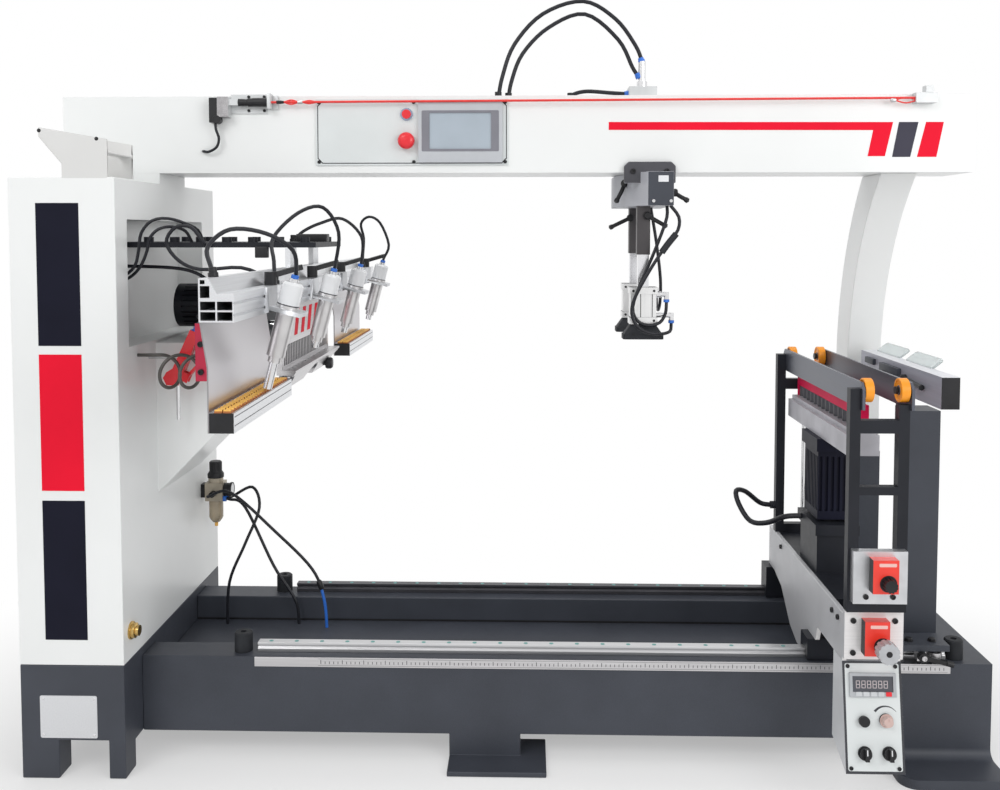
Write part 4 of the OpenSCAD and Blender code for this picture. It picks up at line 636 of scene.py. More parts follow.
NICHE_ROUTES = [
    [(-935, -156, 1120), (-912, -156, 1121), (-880, -158, 1128), (-850, -172, 1150), (-834, -188, 1188),
     (-824, -198, 1224), (-800, -197, 1251), (-766, -192, 1256), (-734, -178, 1246), (-712, -152, 1230),
     (-706, -136, 1203)],
    [(-935, -142, 1112), (-910, -142, 1113), (-874, -146, 1122), (-840, -166, 1148), (-818, -182, 1184),
     (-809, -188, 1212), (-790, -186, 1232), (-762, -178, 1238), (-738, -160, 1228), (-730, -142, 1203)]]
for k, points in enumerate(NICHE_ROUTES):
    hose("niche_cable_%d" % k, mm(points), d=0.007, sides=12)

# Regulator hoses, of which the first ends in a blue tube after a plug-in connector
TAIL_Z = 0.292
AIR_ROUTES = [
    [(-827, 270, 512), (-827, 246, 514), (-760, 226, 530), (-640, 215, 430), (-540, 210, 330),
     (-508, 205, 250), (-500, 200, 176)],
    [(-803, 320, 495), (-785, 318, 496), (-720, 290, 530), (-694, 262, 480), (-726, 234, 390),
     (-766, 222, 290), (-772, 220, 176)],
    [(-803, 298, 495), (-785, 296, 494), (-735, 272, 478), (-650, 236, 330), (-590, 226, 240),
     (-580, 224, 176)]]
for k, points in enumerate(AIR_ROUTES):
    hose("regulator_hose_%d" % k, mm(points), "air_hoses", tail=(BLUE, TAIL_Z) if k == 0 else None)
bm = bmesh.new()
near = min(smooth_route(mm(AIR_ROUTES[0]), 10), key=lambda p: abs(p.z - TAIL_Z))
add_lathe(bm, mm([(4.2, -13), (6.2, -12), (7.5, -8), (7.5, 8), (6.2, 12), (4.2, 13)]), near,
          (0.37, -0.06, -0.93), 0, 18)
to_object("hose_connector", bm, [PLASTIC])

# Clamp hoses, each straight up out of its cylinder at first
CLAMP_ENDS = [
    [(-402, -554, 1191), (-443, -588, 1222), (-498, -622, 1229), (-528, -656, 1198), (-514, -684, 1164),
     (-508, -690, 1147)],
    [(-386, -187, 1225), (-411, -234, 1279), (-454, -282, 1266), (-496, -329, 1213), (-484, -372, 1166),
     (-475, -400, 1121)],
    [(-400, 200, 1215), (-444, 172, 1261), (-495, 148, 1250), (-535, 118, 1228), (-555, 100, 1203)],
    [(-388, 625, 1190), (-414, 626, 1256), (-448, 630, 1275), (-474, 636, 1254), (-468, 650, 1210),
     (-472, 658, 1160), (-475, 662, 1121)]]
for k, (y, ends) in enumerate(zip(CLAMP_Y, CLAMP_ENDS)):
    top = Vector((CLAMP_X, y, CLAMP_Z))
    hose("clamp_hose_%d" % k, [top + 0.005 * CLAMP_UP, top + 0.024 * CLAMP_UP] + mm(ends), "air_hoses")

# Blow gun: its feed hose, and a coiled hose beside it
GUN_TILT = math.radians(24.0)
GUN_UP = Vector((math.sin(GUN_TILT), 0.0, math.cos(GUN_TILT)))
GUN_END = Vector((-0.796, -0.060, 0.891)) + 0.128 * GUN_UP
hose("gun_feed_hose", [GUN_END, GUN_END + 0.020 * GUN_UP] + mm([
    (-706, -60, 1066), (-714, -62, 1104), (-748, -64, 1130), (-800, -66, 1142), (-900, -66, 1146),
    (-935, -66, 1146)]), "gun_hose")
COIL_TURNS = 2
COIL_STEPS = 24
COIL_PITCH = 0.046
coil = mm([(-865, -128, 943), (-853, -128, 943), (-831, -127, 943)])
for k in range(COIL_TURNS * COIL_STEPS + 1):
    swing = math.radians(360 * k / COIL_STEPS)
    sway = math.sin(swing)
    coil.append((-0.815 + COIL_PITCH * k / COIL_STEPS + 0.026 * sway, -0.124 + 0.024 * sway,
                 0.905 + 0.038 * math.cos(swing)))
coil += mm([(-716, -86, 948), (-708, -50, 950), (-706, -32, 950), (-706, -15, 950)])
hose("spiral_hose", coil, "gun_hose", mat=GREY_HOSE, per=3)

# Carriage cable
hose("carriage_cable_loop", mm([(682, 256, 500), (654, 254, 506), (612, 238, 540), (582, 212, 548),
                                (584, 186, 520), (606, 150, 486), (636, 100, 496), (668, 50, 526),
                                (704, 34, 533)]), "carriage_cable", 0.013, body="carriage")

# Presser hoses and a coupling, which run between the head and the cylinders on its posts
PRESS_ROUTES = [
    [(366, 5, 1289), (366, 5, 1262), (352, 4, 1219), (330, 4, 1163), (303, 4, 1100), (286, 4, 1046),
     (297, 5, 1014), (323, 7, 1002), (352, 15, 1008), (368, 34, 1028), (372, 45, 1050.7), (372, 45, 1062.7)],
    [(372, -12, 1289), (392, -12, 1262), (390, -12, 1231), (367, -13, 1200), (336, -13, 1155),
     (304, -13, 1100), (284, -13, 1056), (284, -13, 1022), (301, -12, 996), (330, -8, 984), (357, 4, 982),
     (379, 29, 986), (384, 45, 999.7), (384, 45, 1011.7)],
    [(345, 150, 1289), (360, 150, 1200), (371, 152, 1110), (372, 162, 1052), (372, 195, 1026),
     (372, 227, 1034), (372, 235, 1050.7), (372, 235, 1062.7)]]
for k, points in enumerate(PRESS_ROUTES):
    tube = hose("press_hose_%d" % k, mm(points), "presser_hoses", body=None)
    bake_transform(tube)
bm = bmesh.new()
add_tube(bm, smooth_route(mm([(386, -12, 1222), (368, -13, 1200), (352, -13, 1178)]), 6), 0.0078, 0, 18)
coupling = to_object("hose_coupling", bm, [RUBBER], None)
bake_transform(coupling)

# Marks and plates stand this far out of their face, and reach a little into it
PAINT = 0.0005
PLATE = 0.0012
SUNK = 0.0002

# Column: painted stripes, blank data plate, gland, plugs, and black discs painted as the shade in the
# bracket's holes
FRONT_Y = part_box("column")[0].y
SIDE_X = -0.865
PLATE_X = (-1.056, -0.927)
PLATE_Z = (0.094, 0.191)
RIVET_IN = 0.007
bm = bmesh.new()
for z0, z1, mat in ((0.318, 0.632, 0), (0.654, 0.957, 1), (0.976, 1.289, 0)):
    add_prism(bm, rect(-1.040, z0, -0.945, z1), "y", FRONT_Y - PAINT, FRONT_Y + SUNK, mat)
to_object("column_stripes", bm, [DECAL_BLACK, DECAL_RED], flat=True)
bm = bmesh.new()
add_prism(bm, round_rect(PLATE_X[0], PLATE_Z[0], PLATE_X[1], PLATE_Z[1], 0.004),
          "y", FRONT_Y - PLATE, FRONT_Y + SUNK)
for x in (PLATE_X[0] + RIVET_IN, PLATE_X[1] - RIVET_IN):
    for z in (PLATE_Z[0] + RIVET_IN, PLATE_Z[1] - RIVET_IN):
        add_lathe(bm, mm([(3, 0), (2.8, 1), (1.5, 1.7), (0, 1.8)]), (x, FRONT_Y - PLATE, z), FRONT, 1)
to_object("data_plate", bm, [ALU, CHROME])
bm = bmesh.new()
add_lathe(bm, mm([(20, 0), (20, 4), (17, 5), (17, 12), (12, 14), (12, 20), (0, 20)]),
          (SIDE_X, -0.197, 0.324), RIGHT, 0, 24)
for y, z in ((0.004, 0.777), (0.246, 0.796)):
    add_lathe(bm, mm([(11, 0), (11, 2), (8, 4), (0, 4)]), (SIDE_X, y, z), RIGHT, 1, 20)
to_object("column_gland", bm, [BRASS, PLASTIC])
# Black discs on the bracket: painted shade in its holes
bm = bmesh.new()
for x, z in ((-1.028, 1.446), (-0.902, 1.428)):
    add_disc(bm, 0.0042, 0.0004, (x, FRONT_Y, z), FRONT, 18)
to_object("bracket_hole_shade", bm, [PLASTIC])

# Beam: painted bars
BEAM_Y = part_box("overhead_beam")[0].y
BARS = (
    (0, [(228, 1491), (906, 1489), (888, 1408), (847, 1408), (859, 1470), (228, 1472)]),
    (1, [(920, 1489), (966, 1489), (948, 1406), (905, 1406)]),
    (0, [(984, 1489), (1026, 1489), (1010, 1406), (964, 1406)]))
bm = bmesh.new()
for mat, outline in BARS:
    add_prism(bm, mm(outline), "y", BEAM_Y - PAINT, BEAM_Y + SUNK, mat)
to_object("beam_bars", bm, [DECAL_RED, DECAL_GREY], flat=True)

# Control panel: printed border, screws and screen rim
PANEL_Y = 0.026
PANEL_X = (-0.476, -0.017)
PANEL_Z = (1.392, 1.543)
BORDER_W = 0.0022
SCREW_IN = 0.004


def panel_outline(inset, cut):
    """The panel's outline, moved in and with its corners cut off."""
    x0, x1 = PANEL_X[0] + inset, PANEL_X[1] - inset
    z0, z1 = PANEL_Z[0] + inset, PANEL_Z[1] - inset
    return [(x0 + cut, z0), (x1 - cut, z0), (x1, z0 + cut), (x1, z1 - cut), (x1 - cut, z1), (x0 + cut, z1),
            (x0, z1 - cut), (x0, z0 + cut)]


bm = bmesh.new()
add_ring(bm, panel_outline(0.0, 0.012), panel_outline(BORDER_W, 0.0111),
         "y", PANEL_Y - 0.0003, PANEL_Y + SUNK)
add_bolts(bm, (PANEL_X[0] + SCREW_IN, -0.242, PANEL_X[1] - SCREW_IN), [PANEL_Y],
          (PANEL_Z[0] + SCREW_IN, PANEL_Z[1] - SCREW_IN), FRONT, 0.0042, 0.0028, 1)
to_object("panel_border", bm, [INK, PLASTIC])
bm = bmesh.new()
add_ring(bm, round_rect(-0.222, 1.4205, -0.036, 1.5185, 0.003),
         round_rect(-0.2035, 1.4265, -0.0545, 1.5125, 0.003), "y", 0.0165, 0.0172)
to_object("screen_surround", bm, [SCREEN_RIM])

# Pull cord's ends: each has a side, a start and loops, which begin, end and open so far, and a clip
CORD_Z = 1.5385
CORD_ENDS = (
    (1, -0.554, ((0.0, 0.036, 0.0050), (0.044, 0.080, 0.0035))),
    (-1, 0.955, ((0.0, 0.052, 0.0064),)))
bm = bmesh.new()
for s, x, loops in CORD_ENDS:
    for low, high, rise in loops:
        for dz in (rise, -rise):
            start, end = (x + s * low, CORD_Y, CORD_Z), (x + s * high, CORD_Y, CORD_Z)
            middle = (x + s * (low + high) / 2, CORD_Y, CORD_Z + dz)
            add_tube(bm, smooth_route([start, middle, end], 6), 0.0018, 0, 10)
    clip = loops[0][1] - 0.002
    add_lathe(bm, mm([(4, 0), (4.8, 2), (4.8, 10), (4, 12)]),
              (x + s * clip, CORD_Y, CORD_Z), (s, 0, 0), 1, 16)
to_object("cord_loops", bm, [CORD_RED, STEEL_X])

# Pull switch: bolts, boot, cable entry, bent bracket and lead
bm = bmesh.new()
add_bolts(bm, (-0.642, -0.604), [0.026], (1.520, 1.553), FRONT, 0.0036, 0.003)
add_lathe(bm, mm([(8.8, 0), (10.4, 4), (10.4, 38), (9.8, 40), (0, 40)]),
          (-0.632, CORD_Y, CORD_Z), RIGHT, 0, 24)
add_lathe(bm, mm([(4.2, 0), (4.2, 10), (3, 18), (0, 18)]), (-0.571, CORD_Y, CORD_Z), RIGHT, 0, 18)
add_lathe(bm, mm([(9, 0), (9.8, 1), (9.8, 21), (9, 22)]), (-0.715, 0.023, 1.497), FRONT)
add_box(bm, (-0.592, 0.0005, 1.522), (-0.584, 0.0290, 1.559), 1, 0.001)
add_box(bm, (-0.584, 0.0240, 1.522), (-0.570, 0.0290, 1.556), 1, 0.001)
to_object("switch_bolts", bm, [PLASTIC, FITTING])
hose("switch_lead", mm([(-720, 12, 1492), (-719, 12, 1474), (-713, 14, 1452), (-719, 15, 1432),
                        (-738, 17, 1421), (-752, 22, 1422), (-757, 30, 1423)]), d=0.0064, sides=12)

# The pull cord is stretched between the switch and its anchor, over the solid's own line
CORD_STEPS = 15
hose("pull_cord", [CORD_START.lerp(CORD_END, k / CORD_STEPS) for k in range(CORD_STEPS + 1)], d=0.0056,
     mat=CORD_RED, per=1, sides=12)

# Manifold on the beam: fittings with collars, and the hoses' entries into the beam
MANIFOLD_Y = 0.120
bm = bmesh.new()
for x, z, axis in ((0.317, 1.6465, (-0.3, 0, 1)), (0.3105, 1.6095, (-0.5, 0, 1)), (0.2865, 1.570, LEFT)):
    add_lathe(bm, mm([(8.5, 0), (8.5, 8), (7.2, 9), (7.2, 13)]), (x, MANIFOLD_Y, z), axis, 0, 20)
for x, y in ((-0.040, 0.098), (-0.015, 0.116), (0.140, 0.120)):
    add_lathe(bm, mm([(12, 0), (12, 4), (8.5, 6), (8.5, 18), (5.2, 18)]), (x, y, 1.555), UP, 1, 20)
to_object("manifold_collars", bm, [BLUE, PLASTIC])

# Presser head: bolts, blank plate and screws
PRESS_X = 0.314
PRESS_Y = (0.045, 0.235)
HEAD_FRONT = -0.020
bm = bmesh.new()
add_bolts(bm, (0.286, 0.367), [0.018], [1.372], FRONT, 0.0065, 0.006)
add_prism(bm, round_rect(0.342, 1.345, 0.366, 1.360, 0.001), "y", HEAD_FRONT - 0.0008, HEAD_FRONT + SUNK, 1)
add_bolts(bm, (0.331, 0.372), [HEAD_FRONT], [1.300], FRONT, 0.0042, 0.003, 2)
to_object("presser_trim", bm, [PLASTIC, ALU, CHROME], "presser")

# Presser sleeves and their clamp levers
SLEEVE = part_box("presser_sleeves")[1].x - PRESS_X
SLEEVE_WALL = 0.0025
LEVER_OUT = 0.006
TIP_OUT = 0.009


def add_lever(bm, pivot, tip, axis, mat=0):
    """A hub along its axis, and a handle that leans out to its tip."""
    pivot, tip, axis = Vector(pivot), Vector(tip), Vector(axis)
    middle = pivot.lerp(tip, 0.5) + LEVER_OUT * axis
    end = tip + TIP_OUT * axis
    add_lathe(bm, mm([(9, -2), (9.5, 0), (9.5, 10), (7, 13), (0, 13.5)]), pivot, axis, mat, 20)
    add_tube(bm, smooth_route([pivot + LEVER_OUT * axis, middle, end], 6), 0.0052, mat, 12)
    add_lathe(bm, mm([(5.2, -4), (6.6, 0), (6.4, 6), (0, 9)]), end, tip - pivot, mat, 14)


def square(y, half, r):
    return round_rect(PRESS_X - half, y - half, PRESS_X + half, y + half, r)


bm = bmesh.new()
add_lever(bm, (0.2790, 0.100, 1.347), (0.262, 0.094, 1.306), (-0.86, -0.5, 0))
add_lever(bm, (0.3800, 0.020, 1.321), (0.403, 0.012, 1.304), RIGHT)
for y, start, end in zip(PRESS_Y, ((0.322, 1.266), (0.300, 1.264)), ((0.362, 1.243), (0.252, 1.241))):
    add_lever(bm, spread("y", start, y - SLEEVE), spread("y", end, y - SLEEVE), FRONT)
to_object("head_levers", bm, [PLASTIC], "presser")
bm = bmesh.new()
for y in PRESS_Y:
    add_ring(bm, square(y, SLEEVE, 0.0025), square(y, SLEEVE - SLEEVE_WALL, 0.001), "z",
             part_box("presser_cylinders")[1].z - 0.038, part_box("presser_sleeves")[1].z)
sleeves = to_object("sleeve_tubes", bm, [TAUPE], "presser")
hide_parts("presser_sleeves")

# Presser shoes: a pad, a tapered body and a rod
FEET_LO, FEET_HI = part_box("press_feet")
PAD_TOP = FEET_LO.z + 0.012
SHOE_TOP = FEET_LO.z + 0.0365
bm = bmesh.new()
for y in PRESS_Y:
    add_prism(bm, round_rect(FEET_LO.x, y - 0.029, FEET_HI.x, y + 0.029, 0.009), "z", FEET_LO.z, PAD_TOP)
    low = round_rect(PRESS_X - 0.047, y - 0.027, PRESS_X + 0.047, y + 0.027, 0.008)
    high = round_rect(PRESS_X - 0.030, y - 0.020, PRESS_X + 0.030, y + 0.020, 0.006)
    made = add_prism(bm, low, "z", PAD_TOP - SUNK, SHOE_TOP)
    for vert, p in zip(made[len(low):], high):
        vert.co.xy = p
    add_lathe(bm, [(0.008, 0.0), (0.008, FEET_HI.z - SHOE_TOP)], (PRESS_X, y, SHOE_TOP), UP, 1, 24)
feet = to_object("press_shoes", bm, [RUBBER, CHROME], "press_feet")
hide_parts("press_feet")

# Presser cylinders: bolts, black strips painted as the shade in their grooves, and hose collars
bm = bmesh.new()
for y in PRESS_Y:
    add_bolts(bm, (PRESS_X - 0.025, PRESS_X + 0.025), [y - 0.025], (1.0125, 1.0845), FRONT, 0.003, 0.002)
    # Black strips on the barrel: painted shade in its grooves
    for x in (0.307, 0.335):
        add_prism(bm, rect(x - 0.0009, 1.0205, x + 0.0009, 1.0765), "y", y - 0.0223, y - 0.0218)
    add_collar(bm, 0.0072, 0.006, 0.0062, (0.372, y, 1.0625), DOWN, 1)
    add_collar(bm, 0.0078, 0.010, 0.0060, (0.3475, y, 1.075), RIGHT, 2)
add_collar(bm, 0.0072, 0.006, 0.0062, (0.384, PRESS_Y[0], 1.0115), DOWN, 1)
to_object("cylinder_trim", bm, [PLASTIC, BLUE, CHROME], "presser_posts")

# Clamps and left fence: push-in collars, fittings, blocks, and dark strips painted as the shade in the
# tracks' grooves
bm = bmesh.new()
for y in CLAMP_Y:
    top = Vector((CLAMP_X, y, CLAMP_Z))
    add_collar(bm, 0.0085, 0.007, 0.0072, top + 0.0045 * CLAMP_UP, CLAMP_UP, 1, 20)
    add_collar(bm, 0.0074, 0.006, 0.0060, top + 0.0125 * CLAMP_UP, CLAMP_UP, 0, 20)
    add_lathe(bm, mm([(20.6, 0), (21.1, 0.6), (21.1, 4.6), (20.6, 5.2)]),
              top - 0.043 * CLAMP_UP, CLAMP_UP, 2, 40)
to_object("clamp_collars", bm, [BLUE, CHROME, GUNMETAL])
bm = bmesh.new()
for at, axis in (((-0.508, -0.690, 1.147), (-0.1, 0.1, 1)), ((-0.475, -0.400, 1.121), UP),
                 ((-0.555, 0.100, 1.203), UP), ((-0.475, 0.662, 1.121), UP)):
    add_lathe(bm, mm([(9, 0), (9, 7), (7.2, 8), (7.2, 16), (5.8, 17)]), at, axis, 0, 18)
add_box(bm, (-0.521, -0.017, 1.2035), (-0.447, 0.017, 1.222), 0, 0.002)
add_box(bm, (-0.580, -0.166, 1.168), (-0.551, -0.1505, 1.193), 0, 0.002)
to_object("fence_blocks", bm, [PLASTIC])
# Dark strips on the track's side: painted shade in its grooves
bm = bmesh.new()
for z in (0.9125, 0.8975):
    for y0, y1 in ((-0.745, -0.345), (0.345, 0.745)):
        add_prism(bm, rect(y0, z, y1, z + 0.0016), "x", -0.4582, -0.4578)
to_object("track_groove_shade", bm, [GUNMETAL], flat=True)

# Left gearbox bolts, and the drill guard's painted bars and knob
GEAR_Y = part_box("left_gearbox")[0].y
GUARD_X = -0.498
bm = bmesh.new()
add_bolts(bm, (-0.668, -0.612), [GEAR_Y], (0.925, 0.985, 1.045), FRONT, 0.0065, 0.005)
to_object("gearbox_bolts", bm, [PLASTIC], "left_head")
bm = bmesh.new()
for k in range(5):
    y = -0.142 + 0.066 * k
    add_prism(bm, [(y, 0.991), (y + 0.030, 0.991), (y + 0.056, 1.050), (y + 0.026, 1.050)],
              "x", GUARD_X - SUNK, GUARD_X + PAINT)
to_object("guard_bars", bm, [DECAL_RED], flat=True)
bm = bmesh.new()
add_lathe(bm, mm([(6, 0), (6, 12), (13, 13), (15, 17), (15, 26), (12, 30), (0, 31)]),
          (GUARD_X, 0.147, 0.891), RIGHT, 0, 10)
to_object("guard_knob", bm, [PLASTIC])

# Bed: plugs along the rails, the rule's scale, and a black strip of painted shadow in the gap at the foot of
# the rear beam
RAIL_FROM = -0.570
RAIL_PITCH = 0.060
RAIL_TOP = 0.263
bm = bmesh.new()
for y, x1 in ((-0.100, 0.985), (0.300, 0.820)):
    for k in range(int((x1 - RAIL_FROM) / RAIL_PITCH) + 1):
        add_disc(bm, 0.0050, 0.0002, (RAIL_FROM + RAIL_PITCH * k, y, RAIL_TOP), UP, 16)
to_object("rail_bolts", bm, [PLUG_GREEN])
RULE_FACE = -0.140
RULE_Z = 0.2255
RULE_FROM = -0.445
RULE_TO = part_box("linear_rails")[1].x - 0.010
RULE_PITCH = 0.010
bm = bmesh.new()
for k in range(int((RULE_TO - RULE_FROM) / RULE_PITCH) + 1):
    x = RULE_FROM + RULE_PITCH * k
    tall = 0.009 if k % 5 == 0 else 0.006
    add_box(bm, (x - 0.0007, RULE_FACE - SUNK, RULE_Z), (x + 0.0007, RULE_FACE, RULE_Z + tall))
for z in (RULE_Z - 0.004, RULE_Z + 0.0115):
    add_box(bm, (RULE_FROM - 0.006, RULE_FACE - SUNK, z), (RULE_TO + 0.004, RULE_FACE, z + 0.0005))
to_object("rule_scale", bm, [INK], flat=True)
REAR_LO, REAR_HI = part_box("rear_bed_beam")
TRAY_TOP = 0.176
# The black strip is painted shadow, standing in for the dark gap under the rear beam
bm = bmesh.new()
add_box(bm, (REAR_LO.x + 0.002, REAR_FRONT - PLATE, TRAY_TOP),
        (REAR_HI.x - 0.002, REAR_FRONT, TRAY_TOP + 0.005))
to_object("rear_beam_gap_shadow", bm, [PLASTIC], flat=True)

# Carriage: bolts, lever screw, counter windows, and a black disc painted as the shade in the handwheel's bore
LOCK_X = PLATES_HI.x + 0.016
bm = bmesh.new()
add_bolts(bm, (PLATES_LO.x + 0.018, PLATES_HI.x - 0.018), [PLATES_LO.y], (0.350, 0.418),
          FRONT, 0.006, 0.0035)
add_bolts(bm, (CAR_X - 0.029, CAR_X + 0.026), [-0.372], [0.480], FRONT, 0.0056, 0.003)
add_bolts(bm, [PLATES_HI.x + 0.006], WHEEL_Y, [WHEEL_Z], RIGHT, 0.0085, 0.007)
add_bolts(bm, [PLATES_LO.x], (-0.300, -0.260, 0.180), [0.410], LEFT, 0.0058, 0.005)
to_object("carriage_bolts", bm, [PLASTIC], "carriage")
bm = bmesh.new()
for dx in (0.028, 0.080, 0.133):
    add_lathe(bm, mm([(10.625, 0), (10.625, 1.2), (8.5, 1.2), (8.5, 5.95), (7.48, 7), (0, 7)]),
              (LOCK_X + dx, -0.118, 0.286), UP, 0, 6)
to_object("clamp_plate_bolts", bm, [PLASTIC], "carriage")
bm = bmesh.new()
add_bolts(bm, [LOCK_X + 0.100], [-0.1603], [0.262], FRONT, 0.0062, 0.004)
to_object("lever_screw", bm, [STEEL_Y], "lock_lever")
bm = bmesh.new()
for x, y, z in ((CAR_X + 0.010, -0.364, 0.373), (CAR_X + 0.008, -0.396, 0.515)):
    add_disc(bm, 0.0175, 0.0006, (x, y + SUNK, z), FRONT, 24)
for x, y, z in ((CAR_X - 0.015, -0.364, 0.410), (CAR_X - 0.011, -0.396, 0.550)):
    add_prism(bm, round_rect(x, z, x + 0.035, z + 0.007, 0.002), "y", y - PAINT, y + 0.0004, 1)
to_object("counter_windows", bm, [PLASTIC, WINDOW], "carriage")
# A black disc on the handwheel: painted shade in its bore
bm = bmesh.new()
add_disc(bm, 0.0062, 0.0006, (CAR_X + 0.010, -0.4043, 0.373), FRONT, 20)
to_object("handwheel_bore_shade", bm, [PLASTIC], "lower_handwheel")


# Control box: face plate with screws, meter keys and digits, and the knob's scale
def on_face(across, down):
    """A place on the leaning face, from shares of its width and length."""
    return across * FACE_W, -down * FACE_LEN


METER_X, METER_Y = on_face(0.5, 0.21)
KNOB_X, KNOB_Y = on_face(0.705, 0.525)
SEGMENTS = ((0, 1, 1, 1), (1, 0.5, 1, 1), (1, 0, 1, 0.5), (0, 0, 1, 0), (0, 0, 0, 0.5), (0, 0.5, 0, 1),
            (0, 0.5, 1, 0.5))
DIGIT_W = 0.007
DIGIT_H = 0.014
STROKE = 0.0006
ARC_STEPS = 20
ARC_R = 0.028
bm = bmesh.new()
add_prism(bm, round_rect(*on_face(0.04, 0.975), *on_face(0.96, 0.02), 0.004), "z", -0.0001, SUNK)
add_bolts(bm, (0.09 * FACE_W, 0.90 * FACE_W), (-0.045 * FACE_LEN, -0.950 * FACE_LEN), [SUNK],
          UP, 0.0042, 0.0022, 1)
for k in range(5):
    x, y = METER_X - 0.036 + 0.0155 * k, METER_Y - 0.0222
    add_prism(bm, round_rect(x, y, x + 0.012, y + 0.0085, 0.0012), "z", 0.0030, 0.0060, 3 if k == 4 else 2)
for k in range(6):
    x, y = METER_X - 0.034 + 0.0115 * k, METER_Y - 0.006
    for x0, y0, x1, y1 in SEGMENTS:
        add_box(bm, (x + DIGIT_W * x0 - STROKE, y + DIGIT_H * y0 - STROKE, 0.0029),
                (x + DIGIT_W * x1 + STROKE, y + DIGIT_H * y1 + STROKE, 0.0033), 4)
for k in range(ARC_STEPS):
    ends = []
    for share in (k / ARC_STEPS, (k + 1) / ARC_STEPS):
        ends.append((math.radians(142.0 - 104.0 * share), 0.0026 - 0.0022 * share))
    corners = [(ARC_R - half, a) for a, half in ends] + [(ARC_R + half, a) for a, half in ends[::-1]]
    add_prism(bm, [(KNOB_X + r * math.cos(a), KNOB_Y + r * math.sin(a)) for r, a in corners],
              "z", 0.0001, 0.00025, 5)
bmesh.ops.transform(bm, matrix=FACE, verts=bm.verts)
to_object("face_plate", bm, [PANEL, PLASTIC, KEY, RED, DIGIT, INK], "carriage", flat=True)
for name, across in (("selector_left", 0.325), ("selector_right", 0.735)):
    x, y = on_face(across, 0.815)
    bm = bmesh.new()
    add_prism(bm, rect(x - 0.0011, y, x + 0.0011, y + 0.0115), "z", 0.0200, 0.0206)
    bmesh.ops.transform(bm, matrix=FACE, verts=bm.verts)
    to_object(name + "_pointer", bm, [FROST], name, flat=True)

# Right fence: clear flip plates, blocks and lever
FLIP_X = FENCE_HI.x - 0.008
FLIP_TURN = Matrix.Rotation(math.radians(52), 3, "Y")
BLOCK_X = FENCE_LO.x - 0.010
bm = bmesh.new()
for y0 in (-0.110, 0.090):
    made = add_prism(bm, round_rect(y0, FENCE_HI.z, y0 + 0.158, FENCE_HI.z + 0.036, 0.010),
                     "x", FLIP_X, FLIP_X + 0.005)
    bmesh.ops.rotate(bm, cent=(FLIP_X, y0, FENCE_HI.z), matrix=FLIP_TURN, verts=made)
to_object("flip_plates", bm, [CLEAR])
bm = bmesh.new()
add_box(bm, (BLOCK_X, -0.017, 0.856), (FENCE_LO.x + PAINT, 0.106, 0.903), 0, 0.0015)
add_box(bm, (FENCE_LO.x - 0.008, 0.156, 0.889), (FENCE_LO.x + PAINT, 0.217, 0.904), 0, 0.0015)
add_lever(bm, (FENCE_LO.x, -0.047, 0.884), (FENCE_LO.x, -0.160, 0.880), LEFT, 1)
add_bolts(bm, [BLOCK_X], (0.030, 0.075), [0.880], LEFT, 0.0065, 0.005, 1)
to_object("fence_trim", bm, [DARK, PLASTIC])

# Regulator: gauge and hose collars
bm = bmesh.new()
add_lathe(bm, mm([(19, 0), (20, 1), (20, 6), (18, 7), (17.5, 5.5), (0, 5.5)]),
          (-0.787, 0.310, 0.518), RIGHT)
add_lathe(bm, mm([(17, 0), (0, 0.2)]), (-0.7813, 0.310, 0.518), RIGHT, 1)
for y in (0.320, 0.298):
    add_collar(bm, 0.0075, 0.008, 0.006, (-0.803, y, 0.495), RIGHT, 2)
to_object("regulator_gauge", bm, [PLASTIC, FROST, BLUE])

# Floor: pale with the object's shadow close to it, plain white further out
FLOOR_HALF = (1.05, 0.35, 0.0)
FLOOR_NEAR = 0.05
FLOOR_FAR = 0.80
FLOOR_PLAIN = 0.40
PURE_WHITE = (1.0, 1.0, 1.0, 1.0)
floor_mesh = bpy.data.meshes.new("floor")
bm = bmesh.new()
bmesh.ops.create_grid(bm, x_segments=1, y_segments=1, size=14.0)
bm.to_mesh(floor_mesh)
bm.free()
floor = bpy.data.objects.new("floor", floor_mesh)
SCENE.collection.objects.link(floor)
floor.location = (0.0, 0.0, -0.0005)


def seen_directly(tree):
    rays = add_node(tree, "LightPath", {}).outputs
    total = rays["Is Camera Ray"]
    for kind in ("Is Glossy Ray", "Is Transmission Ray"):
        total = add_node(tree, "Math", {0: total, 1: rays[kind]}, operation="MAXIMUM").outputs[0]
    return total


def mix_shaders(tree, share, first, second, output):
    both = add_node(tree, "MixShader", {0: share, 1: first.outputs[0], 2: second.outputs[0]})
    set_inputs(tree, tree.nodes[output], {"Surface": both.outputs[0]})


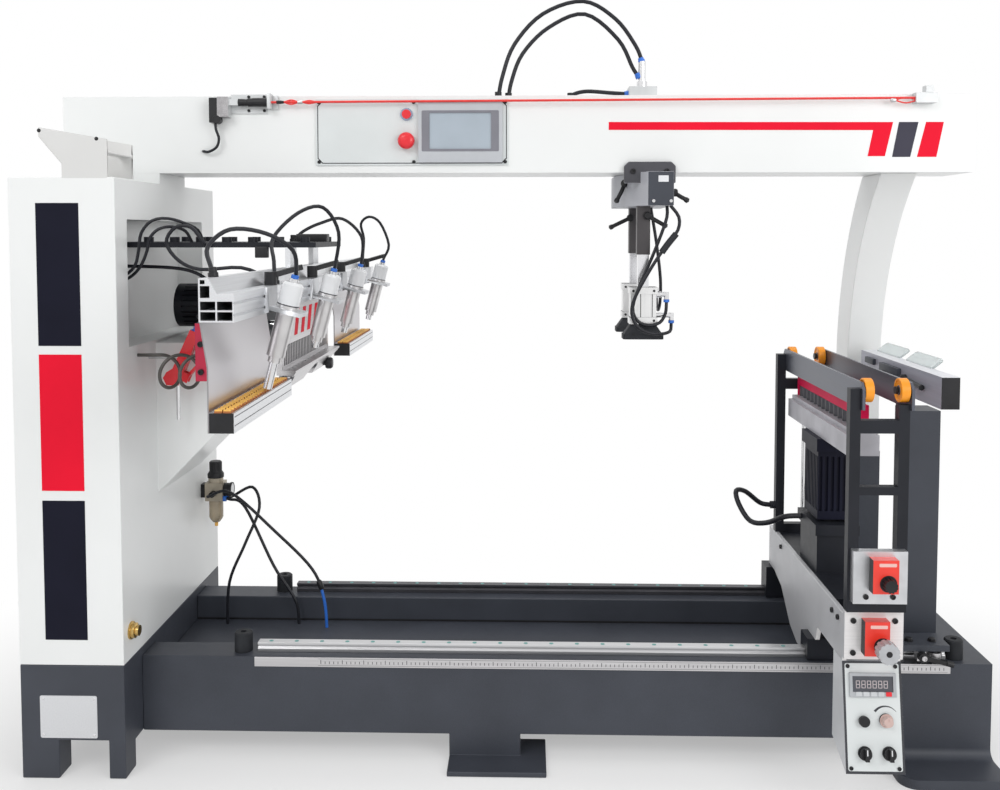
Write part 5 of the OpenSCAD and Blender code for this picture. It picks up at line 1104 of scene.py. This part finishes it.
floor_mat = bpy.data.materials.new("floor_white")
floor_mat.use_nodes = True
tree = floor_mat.node_tree
shader = tree.nodes["Principled BSDF"]
set_inputs(tree, shader, {
    "Base Color": (0.88, 0.88, 0.88, 1.0), "Roughness": 0.75, "Specular IOR Level": 0.2})
plain = add_node(tree, "Emission", {"Color": PURE_WHITE, "Strength": 1.0})
away = add_node(tree, "TexCoord", {}).outputs["Object"]
for step, amount in (("ABSOLUTE", {}), ("SUBTRACT", {1: FLOOR_HALF}), ("MAXIMUM", {1: (0.0, 0.0, 0.0)})):
    away = add_node(tree, "VectorMath", {0: away, **amount}, operation=step).outputs["Vector"]
reach = add_node(tree, "VectorMath", {0: away}, operation="LENGTH")
fade = add_node(tree, "MapRange", {
    "Value": reach.outputs["Value"], "From Min": FLOOR_NEAR, "From Max": FLOOR_FAR, "To Min": FLOOR_PLAIN},
    interpolation_type="SMOOTHSTEP")
share = add_node(tree, "Math", {0: fade.outputs["Result"], 1: seen_directly(tree)}, operation="MULTIPLY")
mix_shaders(tree, share.outputs[0], shader, plain, "Material Output")
floor_mesh.materials.append(floor_mat)

# World and lamps
world = bpy.data.worlds.new("world")
SCENE.world = world
world.use_nodes = True
tree = world.node_tree
lit = tree.nodes["Background"]
set_inputs(tree, lit, {"Color": PURE_WHITE, "Strength": 0.62})
seen = add_node(tree, "Background", {"Color": PURE_WHITE, "Strength": 1.0})
mix_shaders(tree, seen_directly(tree), lit, seen, "World Output")


def area(name, at, to, size, power):
    light = bpy.data.lights.new(name, "AREA")
    light.shape = "RECTANGLE"
    light.size, light.size_y = size
    light.energy = power
    obj = bpy.data.objects.new(name, light)
    SCENE.collection.objects.link(obj)
    obj.location = at
    obj.rotation_euler = (Vector(to) - Vector(at)).to_track_quat("-Z", "Y").to_euler()


area("key", (-2.2, -3.4, 3.6), (0.0, 0.0, 0.8), (2.4, 1.8), 58.0)
area("fill", (3.0, -3.2, 2.2), (0.2, 0.0, 0.8), (2.4, 2.0), 54.0)
area("top", (0.2, 0.6, 4.2), (0.0, 0.1, 0.8), (3.2, 2.2), 38.0)

SCENE.view_settings.view_transform = "Standard"
